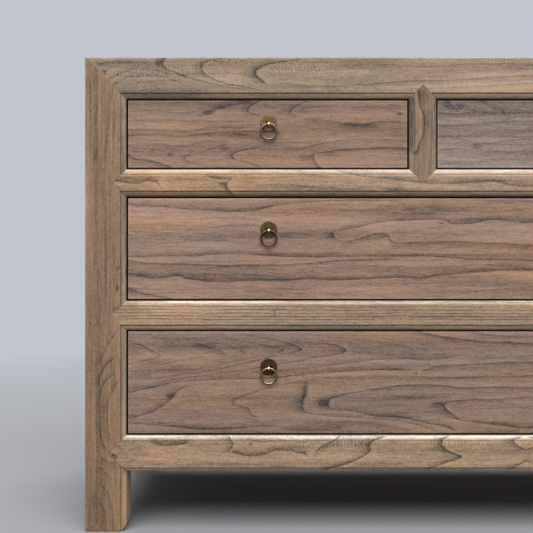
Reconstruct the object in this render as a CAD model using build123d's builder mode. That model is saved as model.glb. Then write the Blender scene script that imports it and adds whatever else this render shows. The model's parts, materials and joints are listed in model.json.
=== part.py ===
"""Elm chest of drawers: two small drawers over two wide ones in a flush, mitred frame.

Millimetres, +Z up, +X to the viewer's right. The front faces -Y and the origin is
on the floor under the middle of the frame.
"""

import os

from build123d import *

# Overall sizes of the frame
WIDTH = 1212.0
DEPTH = 460.0
FOOT_CLEARANCE = 108.5

# Openings for the drawers, from the frame's inner edges
TOP_OPENING_H = 126.0
MIDDLE_OPENING_H = 186.0
LOWER_OPENING_H = 188.0

# Frame members
POST_FACE = 74.0  # width of a post and height of the front top rail
FRAME_DEPTH = 50.0  # depth of a post, and both sides of a side top rail
UPPER_RAIL_H = 50.0
MIDDLE_RAIL_H = 53.5
BOTTOM_RAIL_H = 64.0
DIVIDER_W = 50.0
RAIL_SETBACK = 6.0  # rails are this much shallower than the posts
SIDE_RAIL_T = 40.0
BACK_RAIL_T = 30.0
MUNTIN_W = 60.0
OUTER_EDGE_R = 2.5
INNER_EDGE_R = 3.0
FOOT_ROUND = 14.0  # rounding under the inner side of each foot
FOOT_ROUND_END = 3.2  # the rounding is three cuts of the chisel, and the outer two are this shallow
FOOT_EASE = 2.0

# Thumbnail moulding on the inner edges of the frame
MOULD_W = 10.0
MOULD_DEPTH = 5.5
QUIRK = 1.4
LOWER_BEAD_W = 6.0  # the narrower edge under the bottom rails
LOWER_BEAD_DEPTH = 3.5

# Mortise and tenon joints
MITRE_LAYER = 14.0  # thickness of the pointed, mitred front layer
TENON_T = 14.0
TENON_L = 34.0
TENON_SHOULDER = 10.0
SIDE_TENON_L = 20.0
MORTISE_END = 1.0  # room at a tenon's end
CORNER_TENON_W = 16.0
CORNER_TENON_TOP = 20.0  # depth of the corner tenon's end below the top
CORNER_TENON_ROOT = 60.0

# Top panel and battens
TOP_PANEL_T = 18.0
TONGUE_T = 8.0
TONGUE_L = 8.0
PANEL_ROOM = 1.0  # room for the wood to move, in each groove
PANEL_SEAM = 0.6  # hairline between the top panel and its frame
BATTEN_W = 40.0
BATTEN_KEY = 4.0  # height of the dovetailed key in the panel
BATTEN_KEY_SPLAY = 2.0
BATTEN_TENON_L = 16.0
BATTEN_TENON_INSET = 9.0
KICK_GAP = 1.0  # battens end this far above the small drawers' opening

# Side and back panels
SIDE_PANEL_T = 10.0
SIDE_PANEL_SET = 9.0  # from the frame's outer face to the panel's
BACK_PANEL_T = 8.0
BACK_PANEL_SET = 12.0
MUNTIN_TENON_L = 20.0
MUNTIN_TENON_INSET = 12.0
BACK_TENON_SET = 8.0

# Drawer runners
SEAT_W = 25.0
SEAT_T = 25.0
GUIDE_T = 20.0
GUIDE_H = 40.0
STOP_L = 9.7
STOP_H = 20.0
RUNNER_TENON_L = 12.0
RUNNER_TENON_INSET = 6.0

# Drawers
FRONT_SETBACK = 6.0  # drawer fronts sit this far behind the frame's front
FRONT_GAP = 2.4
FRONT_T = 20.0
FRONT_EDGE_R = 1.2
SIDE_T = 12.0
BACK_T = 12.0
BOTTOM_T = 6.0
BOTTOM_RISE = 10.0  # from the sides' lower edges up to the bottom board
GROOVE_DEPTH = 5.0
BOTTOM_ROOM = 0.5
RUN_GAP = 0.3  # between the drawer and its runner or stop
SIDE_DROP = 4.0  # the sides end this far below the top of the front
BACK_DROP = 6.0
LAP_T = 6.0  # wood left in front of the lapped dovetails
SMALL_TAIL_COUNT = 2
WIDE_TAIL_COUNT = 3
TAIL_SHARE = 0.56  # part of each pitch that is tail, at its narrow end
TAIL_SLOPE = 1.0 / 6.0

# Ring pulls
PULL_PITCH = 553.0
TOP_PULL_RISE = 19.5  # pull centres above the middle of their openings
MIDDLE_PULL_RISE = 34.5
LOWER_PULL_RISE = 28.0
PLATE_R = 15.2
PLATE_T = 1.5
PLATE_RIM_SLOPE = 0.6  # drop and width of the plate's hammered rim
PLATE_RIM_W = 2.0
EYE_R = 2.4
EYE_STRIP_T = 1.4
EYE_STRIP_W = 2.6
EYE_GAP = 0.3
EYE_SLIT = 0.4
EYE_TAB_L = 14.0
RING_R = 13.75
RING_WIRE_R = 1.95
RING_FACETS = 24  # the ring is forged in short flats, with a vertex at the top
WIRE_FACETS = 8

# Places worked out from the sizes
LEFT = -WIDTH / 2
FRONT = -DEPTH / 2
BACK = DEPTH / 2
INNER_X = WIDTH / 2 - POST_FACE
BOTTOM_SEAT_Z = FOOT_CLEARANCE + BOTTOM_RAIL_H
MIDDLE_RAIL_Z = BOTTOM_SEAT_Z + LOWER_OPENING_H
MIDDLE_SEAT_Z = MIDDLE_RAIL_Z + MIDDLE_RAIL_H
UPPER_RAIL_Z = MIDDLE_SEAT_Z + MIDDLE_OPENING_H
UPPER_SEAT_Z = UPPER_RAIL_Z + UPPER_RAIL_H
TOP_RAIL_Z = UPPER_SEAT_Z + TOP_OPENING_H
HEIGHT = TOP_RAIL_Z + POST_FACE
SIDE_TOP_Z = HEIGHT - FRAME_DEPTH
POST_BACK_Y = FRONT + FRAME_DEPTH
RAIL_BACK_Y = POST_BACK_Y - RAIL_SETBACK
BACK_POST_Y = BACK - FRAME_DEPTH
BACK_RAIL_Y = BACK - BACK_RAIL_T
STOP_Y = BACK_RAIL_Y - STOP_L
DRAWER_FRONT_Y = FRONT + FRONT_SETBACK
DRAWER_INSIDE_Y = DRAWER_FRONT_Y + FRONT_T
DRAWER_BACK_Y = STOP_Y - RUN_GAP
BATTEN_BOTTOM_Z = TOP_RAIL_Z + KICK_GAP
BATTEN_TOP_Z = HEIGHT - TOP_PANEL_T
BATTEN_XS = (-(INNER_X - BATTEN_W / 2), 0.0, INNER_X - BATTEN_W / 2)
EYE_OUTER_R = EYE_R + EYE_STRIP_T
EYE_SHANK_H = 2 * EYE_STRIP_T + EYE_SLIT
EYE_DROP = EYE_OUTER_R - EYE_SHANK_H / 2  # the loop hangs from the upper leaf of its shank
EYE_Y = DRAWER_FRONT_Y - PLATE_T - EYE_GAP - EYE_OUTER_R


# Shared shapes


def block(x, y, z, mode=Mode.ADD):
    """A square-edged block between three pairs of coordinates."""
    with Locations(((x[0] + x[1]) / 2, (y[0] + y[1]) / 2, (z[0] + z[1]) / 2)):
        Box(x[1] - x[0], y[1] - y[0], z[1] - z[0], mode=mode)


def mould_edge(middle, across, inward, half_length, width=MOULD_W, depth=MOULD_DEPTH):
    """Cut the quirked thumbnail along an edge.

    across points from the edge over the member's face, inward points into the member.
    """
    along = Vector(*across).cross(Vector(*inward))
    with BuildSketch(Plane(origin=middle, x_dir=across, z_dir=along)) as waste:
        with BuildLine():
            Polyline((0, depth), (0, 0), (width, 0), (width, QUIRK))
            TangentArc((width, QUIRK), (0, depth), tangent=(-1, 0))
        make_face()
    extrude(waste.sketch, amount=half_length, both=True, mode=Mode.SUBTRACT)


def pointed_layer(plane, half_length, low, high, mode=Mode.ADD):
    """The front layer of a rail, with a 45 degree point beyond each shoulder."""
    tip = half_length + (high - low) / 2
    with BuildSketch(plane) as outline:
        Polygon(
            (-half_length, low),
            (half_length, low),
            (tip, (low + high) / 2),
            (half_length, high),
            (-half_length, high),
            (-tip, (low + high) / 2),
            align=None,
        )
    extrude(outline.sketch, amount=-MITRE_LAYER, mode=mode)


def round_foot():
    """Round the lower inner edge of a left post."""
    with BuildSketch(Plane.XZ) as waste:
        with BuildLine():
            start = (-INNER_X, FOOT_ROUND)
            end = (-INNER_X - FOOT_ROUND, 0)
            Polyline(end, (-INNER_X, 0), start)
            upper = (-INNER_X - FOOT_ROUND_END, FOOT_ROUND / 2)
            lower = (-INNER_X - FOOT_ROUND / 2, FOOT_ROUND_END)
            Polyline(start, upper, lower, end)
        make_face()
    extrude(waste.sketch, amount=DEPTH, both=True, mode=Mode.SUBTRACT)


def mitre(corner, removed):
    """Cut the part through a corner of the chest and drop the side that removed points to."""
    split(bisect_by=Plane(origin=corner, z_dir=removed), keep=Keep.BOTTOM)


def front_tenons(low, high, mode=Mode.ADD, room=0.0):
    """The tenons of a front rail, or their mortises, in both front posts."""
    reach = INNER_X + TENON_L + room
    tenon_y = (FRONT + MITRE_LAYER, FRONT + MITRE_LAYER + TENON_T)
    tenon_z = (low + TENON_SHOULDER, high - TENON_SHOULDER)
    block((-reach, -INNER_X), tenon_y, tenon_z, mode)
    block((INNER_X, reach), tenon_y, tenon_z, mode)


def back_tenons(mode=Mode.ADD, room=0.0):
    """The tenons of the back bottom rail, or their mortises."""
    reach = INNER_X + TENON_L + room
    tenon_y = (BACK - BACK_TENON_SET - TENON_T, BACK - BACK_TENON_SET)
    tenon_z = (FOOT_CLEARANCE + TENON_SHOULDER, BOTTOM_SEAT_Z - TENON_SHOULDER)
    block((-reach, -INNER_X), tenon_y, tenon_z, mode)
    block((INNER_X, reach), tenon_y, tenon_z, mode)


def side_tenons(mode=Mode.ADD, room=0.0):
    """The tenons of the left bottom side rail, or their mortises."""
    reach = BACK_POST_Y + SIDE_TENON_L + room
    tenon_x = (LEFT + MITRE_LAYER, LEFT + MITRE_LAYER + TENON_T)
    tenon_z = (FOOT_CLEARANCE + TENON_SHOULDER, BOTTOM_SEAT_Z - TENON_SHOULDER)
    block(tenon_x, (-reach, -BACK_POST_Y), tenon_z, mode)
    block(tenon_x, (BACK_POST_Y, reach), tenon_z, mode)


def corner_tenon(end, mode=Mode.ADD, room=0.0):
    """The hidden tenon on a left post's mitred top; end is -1 at the front, 1 at the back."""
    near = SIDE_PANEL_SET + SIDE_PANEL_T + PANEL_ROOM
    tenon_x = (LEFT + near, LEFT + near + CORNER_TENON_W)
    edge_y = BACK - near
    tenon_y = sorted((end * edge_y, end * (edge_y - CORNER_TENON_W)))
    block(tenon_x, tenon_y, (HEIGHT - CORNER_TENON_ROOT, HEIGHT - CORNER_TENON_TOP + room), mode)


def side_panel(mode=Mode.ADD, room=0.0):
    """The left side panel, or the grooves for it."""
    reach = TONGUE_L + room
    panel_x = (LEFT + SIDE_PANEL_SET, LEFT + SIDE_PANEL_SET + SIDE_PANEL_T)
    panel_y = (POST_BACK_Y - reach, BACK_POST_Y + reach)
    block(panel_x, panel_y, (BOTTOM_SEAT_Z - reach, SIDE_TOP_Z + reach), mode)


def back_panels(mode=Mode.ADD, room=0.0):
    """The two back panels, or the grooves for them."""
    reach = TONGUE_L + room
    panel_y = (BACK - BACK_PANEL_SET - BACK_PANEL_T, BACK - BACK_PANEL_SET)
    panel_z = (BOTTOM_SEAT_Z - reach, TOP_RAIL_Z + reach)
    inner = MUNTIN_W / 2 - reach
    outer = INNER_X + reach
    block((-outer, -inner), panel_y, panel_z, mode)
    block((inner, outer), panel_y, panel_z, mode)


def top_tongue(mode=Mode.ADD, room=0.0):
    """The tongue round the top panel, or the grooves for it."""
    reach = TONGUE_L + room
    half_x = WIDTH / 2 - FRAME_DEPTH + reach
    half_y = DEPTH / 2 - FRAME_DEPTH + reach
    tongue_z = (HEIGHT - TOP_PANEL_T, HEIGHT - TOP_PANEL_T + TONGUE_T)
    block((-half_x, half_x), (-half_y, half_y), tongue_z, mode)


def batten_tenons(mode=Mode.ADD, room=0.0):
    """The tenons of the top battens, or their mortises in the front and back top rails."""
    reach = BACK_POST_Y + BATTEN_TENON_L + room
    tenon_z = (BATTEN_BOTTOM_Z + BATTEN_TENON_INSET, BATTEN_TOP_Z - BATTEN_TENON_INSET)
    for x in BATTEN_XS:
        tenon_x = (x - BATTEN_W / 2 + BATTEN_TENON_INSET, x + BATTEN_W / 2 - BATTEN_TENON_INSET)
        block(tenon_x, (-reach, -BACK_POST_Y), tenon_z, mode)
        block(tenon_x, (BACK_POST_Y, reach), tenon_z, mode)


def batten_keys(half_length, mode=Mode.ADD):
    """The dovetailed keys on the battens, or their slots under the top panel."""
    with BuildSketch(Plane.XZ) as keys:
        for x in BATTEN_XS:
            foot = BATTEN_W / 2 - BATTEN_KEY_SPLAY
            Polygon(
                (x - foot, BATTEN_TOP_Z),
                (x + foot, BATTEN_TOP_Z),
                (x + BATTEN_W / 2, BATTEN_TOP_Z + BATTEN_KEY),
                (x - BATTEN_W / 2, BATTEN_TOP_Z + BATTEN_KEY),
                align=None,
            )
    extrude(keys.sketch, amount=half_length, both=True, mode=mode)


def divider_layer(mode=Mode.ADD):
    """The divider's pointed front layer, or the notches for its points."""
    middle_z = (UPPER_SEAT_Z + TOP_RAIL_Z) / 2
    upright = Plane(origin=(0, FRONT, middle_z), x_dir=(0, 0, 1), z_dir=(0, -1, 0))
    pointed_layer(upright, TOP_OPENING_H / 2, -DIVIDER_W / 2, DIVIDER_W / 2, mode)


def divider_tenons(mode=Mode.ADD, room=0.0):
    """The divider's tenons, or their mortises in the rails above and below."""
    reach = SIDE_TENON_L + room
    tenon_x = (-DIVIDER_W / 2 + TENON_SHOULDER, DIVIDER_W / 2 - TENON_SHOULDER)
    tenon_y = (FRONT + MITRE_LAYER, FRONT + MITRE_LAYER + TENON_T)
    block(tenon_x, tenon_y, (TOP_RAIL_Z, TOP_RAIL_Z + reach), mode)
    block(tenon_x, tenon_y, (UPPER_SEAT_Z - reach, UPPER_SEAT_Z), mode)


def muntin_tenons(mode=Mode.ADD, room=0.0):
    """The tenons of the back muntin, or their mortises."""
    reach = MUNTIN_TENON_L + room
    tenon_x = (-MUNTIN_W / 2 + MUNTIN_TENON_INSET, MUNTIN_W / 2 - MUNTIN_TENON_INSET)
    tenon_y = (BACK - BACK_TENON_SET - TENON_T, BACK - BACK_TENON_SET)
    block(tenon_x, tenon_y, (TOP_RAIL_Z, TOP_RAIL_Z + reach), mode)
    block(tenon_x, tenon_y, (BOTTOM_SEAT_Z - reach, BOTTOM_SEAT_Z), mode)


def runner_front_tenons(seat_z, mode=Mode.ADD, room=0.0):
    """The tenons of a pair of runners in the back of their front rail, or the mortises."""
    tenon_y = (RAIL_BACK_Y - RUNNER_TENON_L - room, RAIL_BACK_Y)
    tenon_z = (seat_z - SEAT_T + RUNNER_TENON_INSET, seat_z - RUNNER_TENON_INSET)
    near = INNER_X - SEAT_W + RUNNER_TENON_INSET
    far = INNER_X - RUNNER_TENON_INSET
    block((-far, -near), tenon_y, tenon_z, mode)
    block((near, far), tenon_y, tenon_z, mode)


def runner_back_tenons(seat_z, mode=Mode.ADD, room=0.0):
    """The tenons of a pair of runners in the back posts, or the mortises."""
    tenon_y = (BACK_POST_Y, BACK_POST_Y + RUNNER_TENON_L + room)
    tenon_z = (seat_z - SEAT_T + RUNNER_TENON_INSET, seat_z + GUIDE_H - RUNNER_TENON_INSET)
    near = INNER_X + RUNNER_TENON_INSET
    far = INNER_X + GUIDE_T - RUNNER_TENON_INSET
    block((-far, -near), tenon_y, tenon_z, mode)
    block((near, far), tenon_y, tenon_z, mode)


def centre_runner_tenons(mode=Mode.ADD, room=0.0):
    """The centre runner's tenons in the upper front rail and the muntin, or the mortises."""
    half = DIVIDER_W / 2 - RUNNER_TENON_INSET
    tenon_z = (UPPER_SEAT_Z - SEAT_T + RUNNER_TENON_INSET, UPPER_SEAT_Z - RUNNER_TENON_INSET)
    reach = RUNNER_TENON_L + room
    block((-half, half), (RAIL_BACK_Y - reach, RAIL_BACK_Y), tenon_z, mode)
    block((-half, half), (BACK_RAIL_Y, BACK_RAIL_Y + reach), tenon_z, mode)


SEAT_LEVELS = (UPPER_SEAT_Z, MIDDLE_SEAT_Z, BOTTOM_SEAT_Z)
FRONT_RAILS = (
    (UPPER_RAIL_Z, UPPER_SEAT_Z),
    (MIDDLE_RAIL_Z, MIDDLE_SEAT_Z),
    (FOOT_CLEARANCE, BOTTOM_SEAT_Z),
)
FRONT_PLANE = Plane.XZ.offset(-FRONT)
LEFT_PLANE = Plane(origin=(LEFT, 0, 0), x_dir=(0, -1, 0), z_dir=(-1, 0, 0))
FRONT_CORNER = (LEFT, FRONT, HEIGHT)
BACK_CORNER = (LEFT, BACK, HEIGHT)
UP = (0, 0, 1)
pieces = {}


# Posts

with BuildPart() as front_left_post:
    with BuildSketch():
        with Locations((LEFT + POST_FACE / 2, FRONT + FRAME_DEPTH / 2)):
            Rectangle(POST_FACE, FRAME_DEPTH)
    extrude(amount=HEIGHT)
    upright_edges = front_left_post.edges().filter_by(Axis.Z)
    fillet(upright_edges.sort_by(Axis.X)[:2].sort_by(Axis.Y)[0], OUTER_EDGE_R)
    upright_edges = front_left_post.edges().filter_by(Axis.Z)
    fillet(upright_edges.sort_by(Axis.X)[-2:].sort_by(Axis.Y)[-1], INNER_EDGE_R)
    chamfer(front_left_post.faces().sort_by(Axis.Z)[0].edges(), FOOT_EASE)
    round_foot()
    mould_edge((-INNER_X, FRONT, HEIGHT / 2), (-1, 0, 0), (0, 1, 0), HEIGHT)
    mould_edge((LEFT, POST_BACK_Y, HEIGHT / 2), (0, -1, 0), (1, 0, 0), HEIGHT)
    for low, high in FRONT_RAILS:
        pointed_layer(FRONT_PLANE, INNER_X, low, high, Mode.SUBTRACT)
        front_tenons(low, high, Mode.SUBTRACT, MORTISE_END)
    pointed_layer(LEFT_PLANE, BACK_POST_Y, FOOT_CLEARANCE, BOTTOM_SEAT_Z, Mode.SUBTRACT)
    side_tenons(Mode.SUBTRACT, MORTISE_END)
    side_panel(Mode.SUBTRACT, PANEL_ROOM)
    mitre(FRONT_CORNER, (1, 0, 1))
    mitre(FRONT_CORNER, (0, 1, 1))
    corner_tenon(-1)
pieces["front_left_post"] = front_left_post.part

with BuildPart() as back_left_post:
    with BuildSketch():
        with Locations((LEFT + POST_FACE / 2, BACK - FRAME_DEPTH / 2)):
            Rectangle(POST_FACE, FRAME_DEPTH)
    extrude(amount=HEIGHT)
    upright_edges = back_left_post.edges().filter_by(Axis.Z)
    fillet(upright_edges.sort_by(Axis.Y)[-2:], OUTER_EDGE_R)
    upright_edges = back_left_post.edges().filter_by(Axis.Z)
    fillet(upright_edges.sort_by(Axis.Y)[:2].sort_by(Axis.X)[-1], INNER_EDGE_R)
    chamfer(back_left_post.faces().sort_by(Axis.Z)[0].edges(), FOOT_EASE)
    round_foot()
    mould_edge((LEFT, BACK_POST_Y, HEIGHT / 2), (0, 1, 0), (1, 0, 0), HEIGHT)
    back_tenons(Mode.SUBTRACT, MORTISE_END)
    pointed_layer(LEFT_PLANE, BACK_POST_Y, FOOT_CLEARANCE, BOTTOM_SEAT_Z, Mode.SUBTRACT)
    side_tenons(Mode.SUBTRACT, MORTISE_END)
    side_panel(Mode.SUBTRACT, PANEL_ROOM)
    back_panels(Mode.SUBTRACT, PANEL_ROOM)
    for seat_z in SEAT_LEVELS:
        runner_back_tenons(seat_z, Mode.SUBTRACT, MORTISE_END)
    mitre(BACK_CORNER, (1, 0, 1))
    mitre(BACK_CORNER, (0, -1, 1))
    corner_tenon(1)
pieces["back_left_post"] = back_left_post.part


# Top frame

with BuildPart() as top_front_rail:
    with BuildSketch(Plane.YZ):
        with Locations((FRONT + FRAME_DEPTH / 2, HEIGHT - POST_FACE / 2)):
            Rectangle(FRAME_DEPTH, POST_FACE)
    extrude(amount=WIDTH / 2, both=True)
    long_edges = top_front_rail.edges().filter_by(Axis.X)
    fillet(long_edges.sort_by(Axis.Z)[-2:].sort_by(Axis.Y)[0], OUTER_EDGE_R)
    mould_edge((0, FRONT, TOP_RAIL_Z), UP, (0, 1, 0), WIDTH)
    divider_layer(Mode.SUBTRACT)
    divider_tenons(Mode.SUBTRACT, MORTISE_END)
    top_tongue(Mode.SUBTRACT, PANEL_ROOM)
    batten_tenons(Mode.SUBTRACT, MORTISE_END)
    corner_tenon(-1, Mode.SUBTRACT, MORTISE_END)
    mitre(FRONT_CORNER, (-1, 0, -1))
    mitre(FRONT_CORNER, (-1, 1, 0))
    split(bisect_by=Plane.YZ, keep=Keep.BOTTOM)
    mirror(about=Plane.YZ)
pieces["top_front_rail"] = top_front_rail.part

with BuildPart() as top_back_rail:
    with BuildSketch(Plane.YZ):
        with Locations((BACK - FRAME_DEPTH / 2, HEIGHT - POST_FACE / 2)):
            Rectangle(FRAME_DEPTH, POST_FACE)
    extrude(amount=WIDTH / 2, both=True)
    long_edges = top_back_rail.edges().filter_by(Axis.X)
    fillet(long_edges.sort_by(Axis.Z)[-2:].sort_by(Axis.Y)[-1], OUTER_EDGE_R)
    back_panels(Mode.SUBTRACT, PANEL_ROOM)
    muntin_tenons(Mode.SUBTRACT, MORTISE_END)
    top_tongue(Mode.SUBTRACT, PANEL_ROOM)
    batten_tenons(Mode.SUBTRACT, MORTISE_END)
    corner_tenon(1, Mode.SUBTRACT, MORTISE_END)
    mitre(BACK_CORNER, (-1, 0, -1))
    mitre(BACK_CORNER, (-1, -1, 0))
    split(bisect_by=Plane.YZ, keep=Keep.BOTTOM)
    mirror(about=Plane.YZ)
pieces["top_back_rail"] = top_back_rail.part

with BuildPart() as top_left_rail:
    with BuildSketch(Plane.XZ):
        with Locations((LEFT + FRAME_DEPTH / 2, HEIGHT - FRAME_DEPTH / 2)):
            Rectangle(FRAME_DEPTH, FRAME_DEPTH)
    extrude(amount=DEPTH / 2, both=True)
    long_edges = top_left_rail.edges().filter_by(Axis.Y)
    fillet(long_edges.sort_by(Axis.Z)[-2:].sort_by(Axis.X)[0], OUTER_EDGE_R)
    mould_edge((LEFT, 0, SIDE_TOP_Z), UP, (1, 0, 0), DEPTH)
    top_tongue(Mode.SUBTRACT, PANEL_ROOM)
    side_panel(Mode.SUBTRACT, PANEL_ROOM)
    corner_tenon(-1, Mode.SUBTRACT, MORTISE_END)
    corner_tenon(1, Mode.SUBTRACT, MORTISE_END)
    mitre(FRONT_CORNER, (0, -1, -1))
    mitre(FRONT_CORNER, (1, -1, 0))
    mitre(BACK_CORNER, (0, 1, -1))
    mitre(BACK_CORNER, (1, 1, 0))
pieces["top_left_rail"] = top_left_rail.part

with BuildPart() as top_panel:
    half_x = WIDTH / 2 - FRAME_DEPTH - PANEL_SEAM
    half_y = DEPTH / 2 - FRAME_DEPTH - PANEL_SEAM
    block((-half_x, half_x), (-half_y, half_y), (HEIGHT - TOP_PANEL_T, HEIGHT))
    top_tongue()
    batten_keys(DEPTH, Mode.SUBTRACT)
pieces["top_panel"] = top_panel.part

with BuildPart() as top_battens:
    for x in BATTEN_XS:
        batten_x = (x - BATTEN_W / 2, x + BATTEN_W / 2)
        block(batten_x, (-BACK_POST_Y, BACK_POST_Y), (BATTEN_BOTTOM_Z, BATTEN_TOP_Z))
    batten_keys(BACK_POST_Y)
    batten_tenons()
pieces["top_battens"] = top_battens.part


# Front rails and divider

for name, (low, high) in zip(("upper", "middle", "bottom"), FRONT_RAILS):
    is_bottom = name == "bottom"
    with BuildPart() as front_rail:
        block((-INNER_X, INNER_X), (FRONT, RAIL_BACK_Y), (low, high))
        pointed_layer(FRONT_PLANE, INNER_X, low, high)
        front_tenons(low, high)
        mould_edge((0, FRONT, high), (0, 0, -1), (0, 1, 0), WIDTH)
        lower_width = LOWER_BEAD_W if is_bottom else MOULD_W
        lower_depth = LOWER_BEAD_DEPTH if is_bottom else MOULD_DEPTH
        mould_edge((0, FRONT, low), UP, (0, 1, 0), WIDTH, lower_width, lower_depth)
        runner_front_tenons(high, Mode.SUBTRACT, MORTISE_END)
        if name == "upper":
            divider_layer(Mode.SUBTRACT)
            divider_tenons(Mode.SUBTRACT, MORTISE_END)
            centre_runner_tenons(Mode.SUBTRACT, MORTISE_END)
    pieces[name + "_front_rail"] = front_rail.part

with BuildPart() as drawer_divider:
    half_w = DIVIDER_W / 2
    block((-half_w, half_w), (FRONT, RAIL_BACK_Y), (UPPER_SEAT_Z, TOP_RAIL_Z))
    divider_layer()
    divider_tenons()
    middle_z = (UPPER_SEAT_Z + TOP_RAIL_Z) / 2
    mould_edge((-half_w, FRONT, middle_z), (1, 0, 0), (0, 1, 0), TOP_OPENING_H)
    mould_edge((half_w, FRONT, middle_z), (-1, 0, 0), (0, 1, 0), TOP_OPENING_H)
pieces["drawer_divider"] = drawer_divider.part


# Sides and back

with BuildPart() as left_bottom_rail:
    rail_x = (LEFT, LEFT + SIDE_RAIL_T)
    block(rail_x, (-BACK_POST_Y, BACK_POST_Y), (FOOT_CLEARANCE, BOTTOM_SEAT_Z))
    pointed_layer(LEFT_PLANE, BACK_POST_Y, FOOT_CLEARANCE, BOTTOM_SEAT_Z)
    side_tenons()
    mould_edge((LEFT, 0, BOTTOM_SEAT_Z), (0, 0, -1), (1, 0, 0), DEPTH)
    lower_edge = (LEFT, 0, FOOT_CLEARANCE)
    mould_edge(lower_edge, UP, (1, 0, 0), DEPTH, LOWER_BEAD_W, LOWER_BEAD_DEPTH)
    side_panel(Mode.SUBTRACT, PANEL_ROOM)
pieces["left_bottom_rail"] = left_bottom_rail.part

with BuildPart() as left_side_panel:
    side_panel()
pieces["left_side_panel"] = left_side_panel.part

with BuildPart() as back_bottom_rail:
    block((-INNER_X, INNER_X), (BACK_RAIL_Y, BACK), (FOOT_CLEARANCE, BOTTOM_SEAT_Z))
    back_tenons()
    back_panels(Mode.SUBTRACT, PANEL_ROOM)
    muntin_tenons(Mode.SUBTRACT, MORTISE_END)
pieces["back_bottom_rail"] = back_bottom_rail.part

with BuildPart() as back_muntin:
    block((-MUNTIN_W / 2, MUNTIN_W / 2), (BACK_RAIL_Y, BACK), (BOTTOM_SEAT_Z, TOP_RAIL_Z))
    muntin_tenons()
    back_panels(Mode.SUBTRACT, PANEL_ROOM)
    centre_runner_tenons(Mode.SUBTRACT, MORTISE_END)
pieces["back_muntin"] = back_muntin.part

with BuildPart() as back_panel_pair:
    back_panels()
pieces["back_panels"] = back_panel_pair.part


# Drawer runners, each with a seat, an upright guide and a stop at its back end

for name, seat_z in zip(("upper", "middle", "lower"), SEAT_LEVELS):
    with BuildPart() as runners:
        seat_x = (-INNER_X, -INNER_X + SEAT_W)
        guide_x = (-INNER_X - GUIDE_T, -INNER_X)
        block(seat_x, (RAIL_BACK_Y, BACK_RAIL_Y), (seat_z - SEAT_T, seat_z))
        block(seat_x, (STOP_Y, BACK_RAIL_Y), (seat_z, seat_z + STOP_H))
        block(guide_x, (POST_BACK_Y, BACK_POST_Y), (seat_z - SEAT_T, seat_z + GUIDE_H))
        mirror(about=Plane.YZ)
        runner_front_tenons(seat_z)
        runner_back_tenons(seat_z)
    pieces[name + "_side_runners"] = runners.part

with BuildPart() as centre_runner:
    with BuildSketch(Plane.XZ.offset(-RAIL_BACK_Y)):
        with BuildLine():
            half_w = DIVIDER_W / 2
            Polyline(
                (0, UPPER_SEAT_Z - SEAT_T),
                (half_w + SEAT_W, UPPER_SEAT_Z - SEAT_T),
                (half_w + SEAT_W, UPPER_SEAT_Z),
                (half_w, UPPER_SEAT_Z),
                (half_w, UPPER_SEAT_Z + GUIDE_H),
                (0, UPPER_SEAT_Z + GUIDE_H),
                close=True,
            )
        make_face()
        mirror(about=Plane.YZ)
    extrude(amount=-(BACK_RAIL_Y - RAIL_BACK_Y))
    for side in (-1, 1):
        stop_x = sorted((side * half_w, side * (half_w + SEAT_W)))
        block(stop_x, (STOP_Y, BACK_RAIL_Y), (UPPER_SEAT_Z, UPPER_SEAT_Z + STOP_H))
    centre_runner_tenons()
pieces["centre_runner"] = centre_runner.part


# Drawers


def tails(end_y, depth, low, high, count):
    """Tails along a drawer side's end: narrow at end_y, splayed towards end_y + depth."""
    pitch = (high - low) / count
    root = pitch * TAIL_SHARE / 2
    tip = root + abs(depth) * TAIL_SLOPE
    for index in range(count):
        middle = low + pitch * (index + 0.5)
        Polygon(
            (end_y, middle - root),
            (end_y, middle + root),
            (end_y + depth, middle + tip),
            (end_y + depth, middle - tip),
            align=None,
        )


def pull_slots(pull_xs, pull_z):
    """Cut the slots that the eyes' shanks pass through."""
    with BuildSketch(Plane.XZ) as slots:
        with Locations(*((x, pull_z) for x in pull_xs)):
            Rectangle(EYE_STRIP_W + EYE_GAP, EYE_SHANK_H + EYE_GAP)
    extrude(slots.sketch, amount=DEPTH, both=True, mode=Mode.SUBTRACT)


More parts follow.
